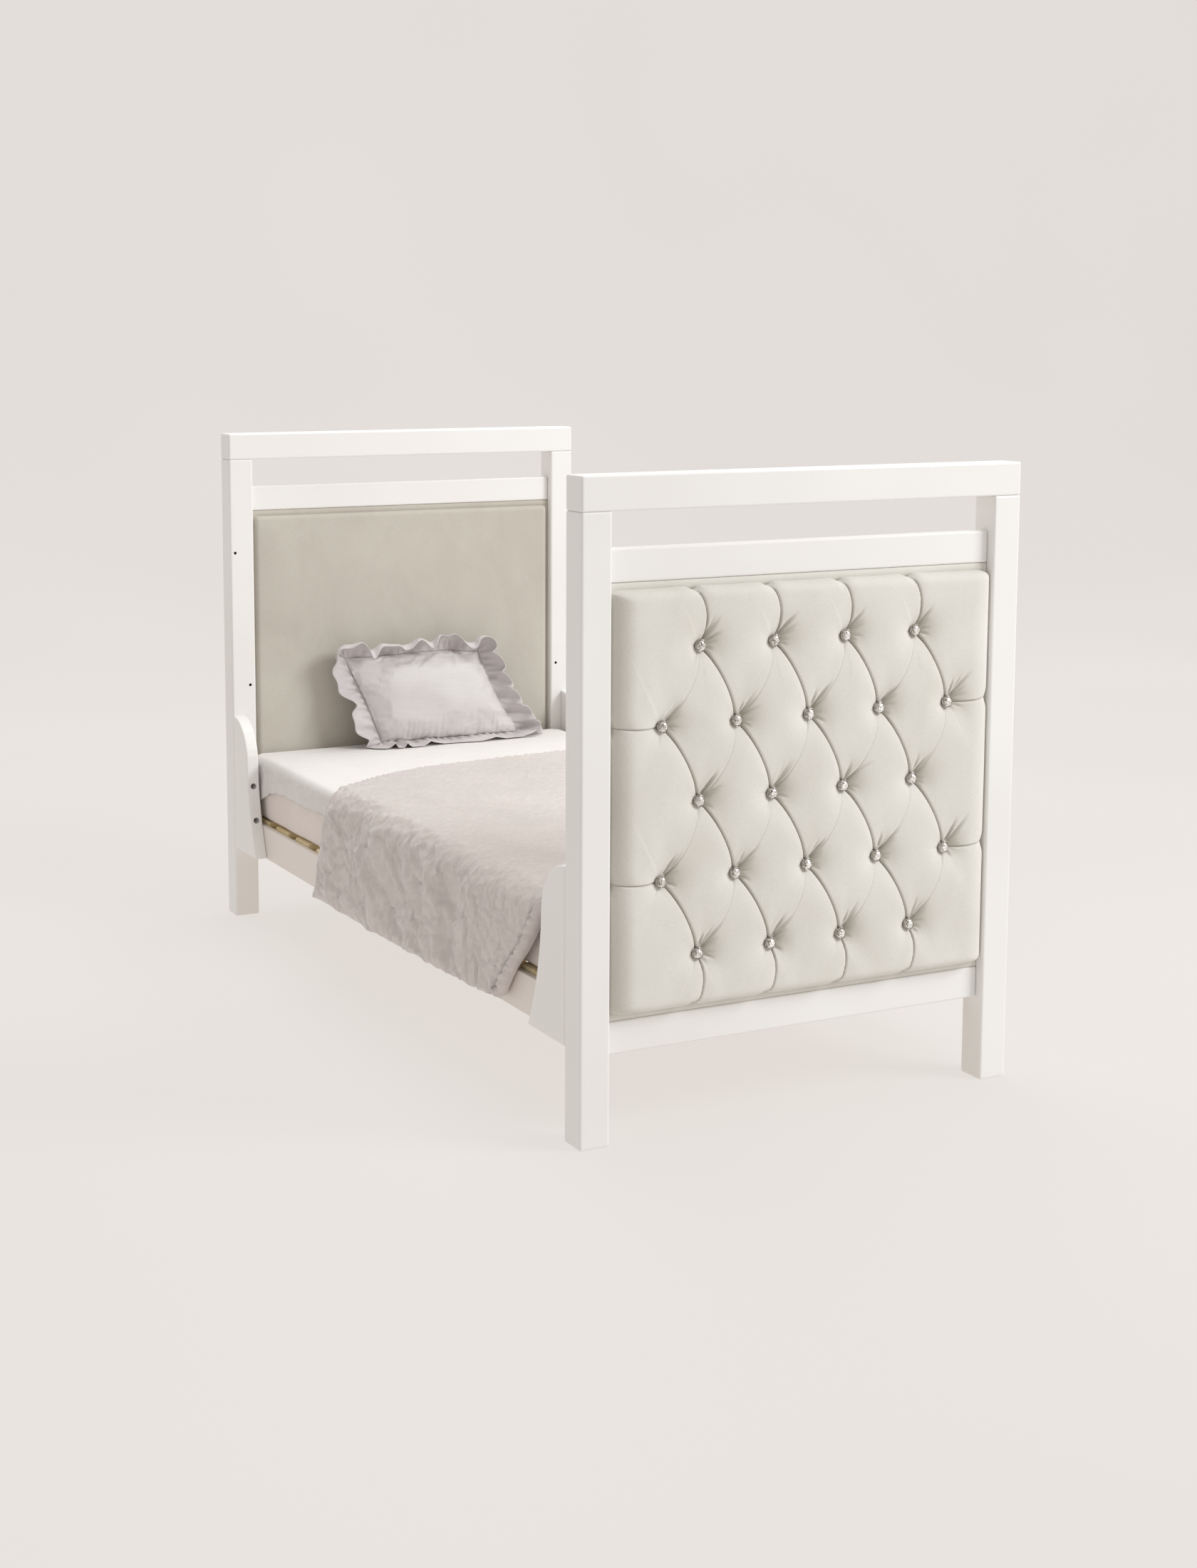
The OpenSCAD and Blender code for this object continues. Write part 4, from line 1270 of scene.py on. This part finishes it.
def backdrop_material():
    """Paper that glows a little, so that floor and wall stay one even pale tone."""
    s = Surface("backdrop", roughness=0.95)
    cloudy = s.noise(0.6, detail=1)
    s.colour(s.ramp(cloudy, (0.3, linear(86, 84, 82)), (0.7, linear(90, 88, 86))))
    glow = s.ramp(cloudy, (0.3, linear(215, 210, 206)), (0.7, linear(217, 212, 208)))
    s.fill(s.shader, {"Emission Color": glow, "Emission Strength": BACKDROP_GLOW})
    return s.material


def add_stage():
    """Pale floor that curves up into a wall far behind the bed."""
    half, depth, radius, top = 14.0, 7.0, 3.0, 9.0
    profile = [(-9.0, 0.0), (depth - radius, 0.0)]
    profile += [(depth - radius + radius * math.sin(a), radius * (1 - math.cos(a)))
                for a in np.radians(np.linspace(5, 90, 18))]
    profile.append((depth, top))
    points = [(x, y, z) for y, z in profile for x in (-half, half)]
    floor = mesh_object("backdrop", points, grid_faces(len(profile), 2, flip=True), backdrop_material())


def add_light(name, place, target, size, power, colour):
    """Square area light at a place, aimed at a target."""
    light = bpy.data.lights.new(name, "AREA")
    light.size = size
    light.energy = power
    light.color = colour
    lamp = bpy.data.objects.new(name, light)
    lamp.location = place
    lamp.rotation_euler = (Vector(target) - Vector(place)).to_track_quat("-Z", "Y").to_euler()
    bpy.context.scene.collection.objects.link(lamp)


def add_lights():
    add_light("key", (3.6, -3.4, 3.4), (0, 0, 0.5), 2.2, KEY_POWER, (0.97, 0.99, 1.0))
    add_light("top", (0.4, 0.8, 4.2), (0, 0, 0), 2.6, TOP_POWER, (1.0, 0.99, 0.98))
    world = bpy.data.worlds.new("studio")
    world.use_nodes = True
    background = world.node_tree.nodes["Background"]
    background.inputs["Color"].default_value = WORLD_COLOUR
    background.inputs["Strength"].default_value = WORLD_STRENGTH
    bpy.context.scene.world = world
    bpy.context.scene.view_settings.view_transform = "Standard"


def add_camera():
    camera = bpy.data.cameras.new("camera")
    camera.sensor_width = 36
    camera.lens = CAMERA_LENS
    camera.shift_x, camera.shift_y = CAMERA_SHIFT
    camera.clip_end = 60
    view = bpy.data.objects.new("camera", camera)
    turns = ((CAMERA_AZIMUTH, "Z"), (90 - CAMERA_ELEVATION, "X"), (CAMERA_ROLL, "Z"))
    view.matrix_world = Matrix.Translation(Vector(CAMERA_PLACE))
    for angle, axis in turns:
        view.matrix_world = view.matrix_world @ Matrix.Rotation(math.radians(angle), 4, axis)
    bpy.context.scene.collection.objects.link(view)
    bpy.context.scene.camera = view


# ---- Build ----

dress_cad_nodes()
add_tufted_pads()
add_borders()
add_buttons()
add_hole_shade_sleeves()
add_flat_pads()
add_mattress()
add_fitted_sheet()
add_duvet()
add_pillow()
add_frill()
add_stage()
add_lights()
add_camera()

bpy.context.view_layer.update()
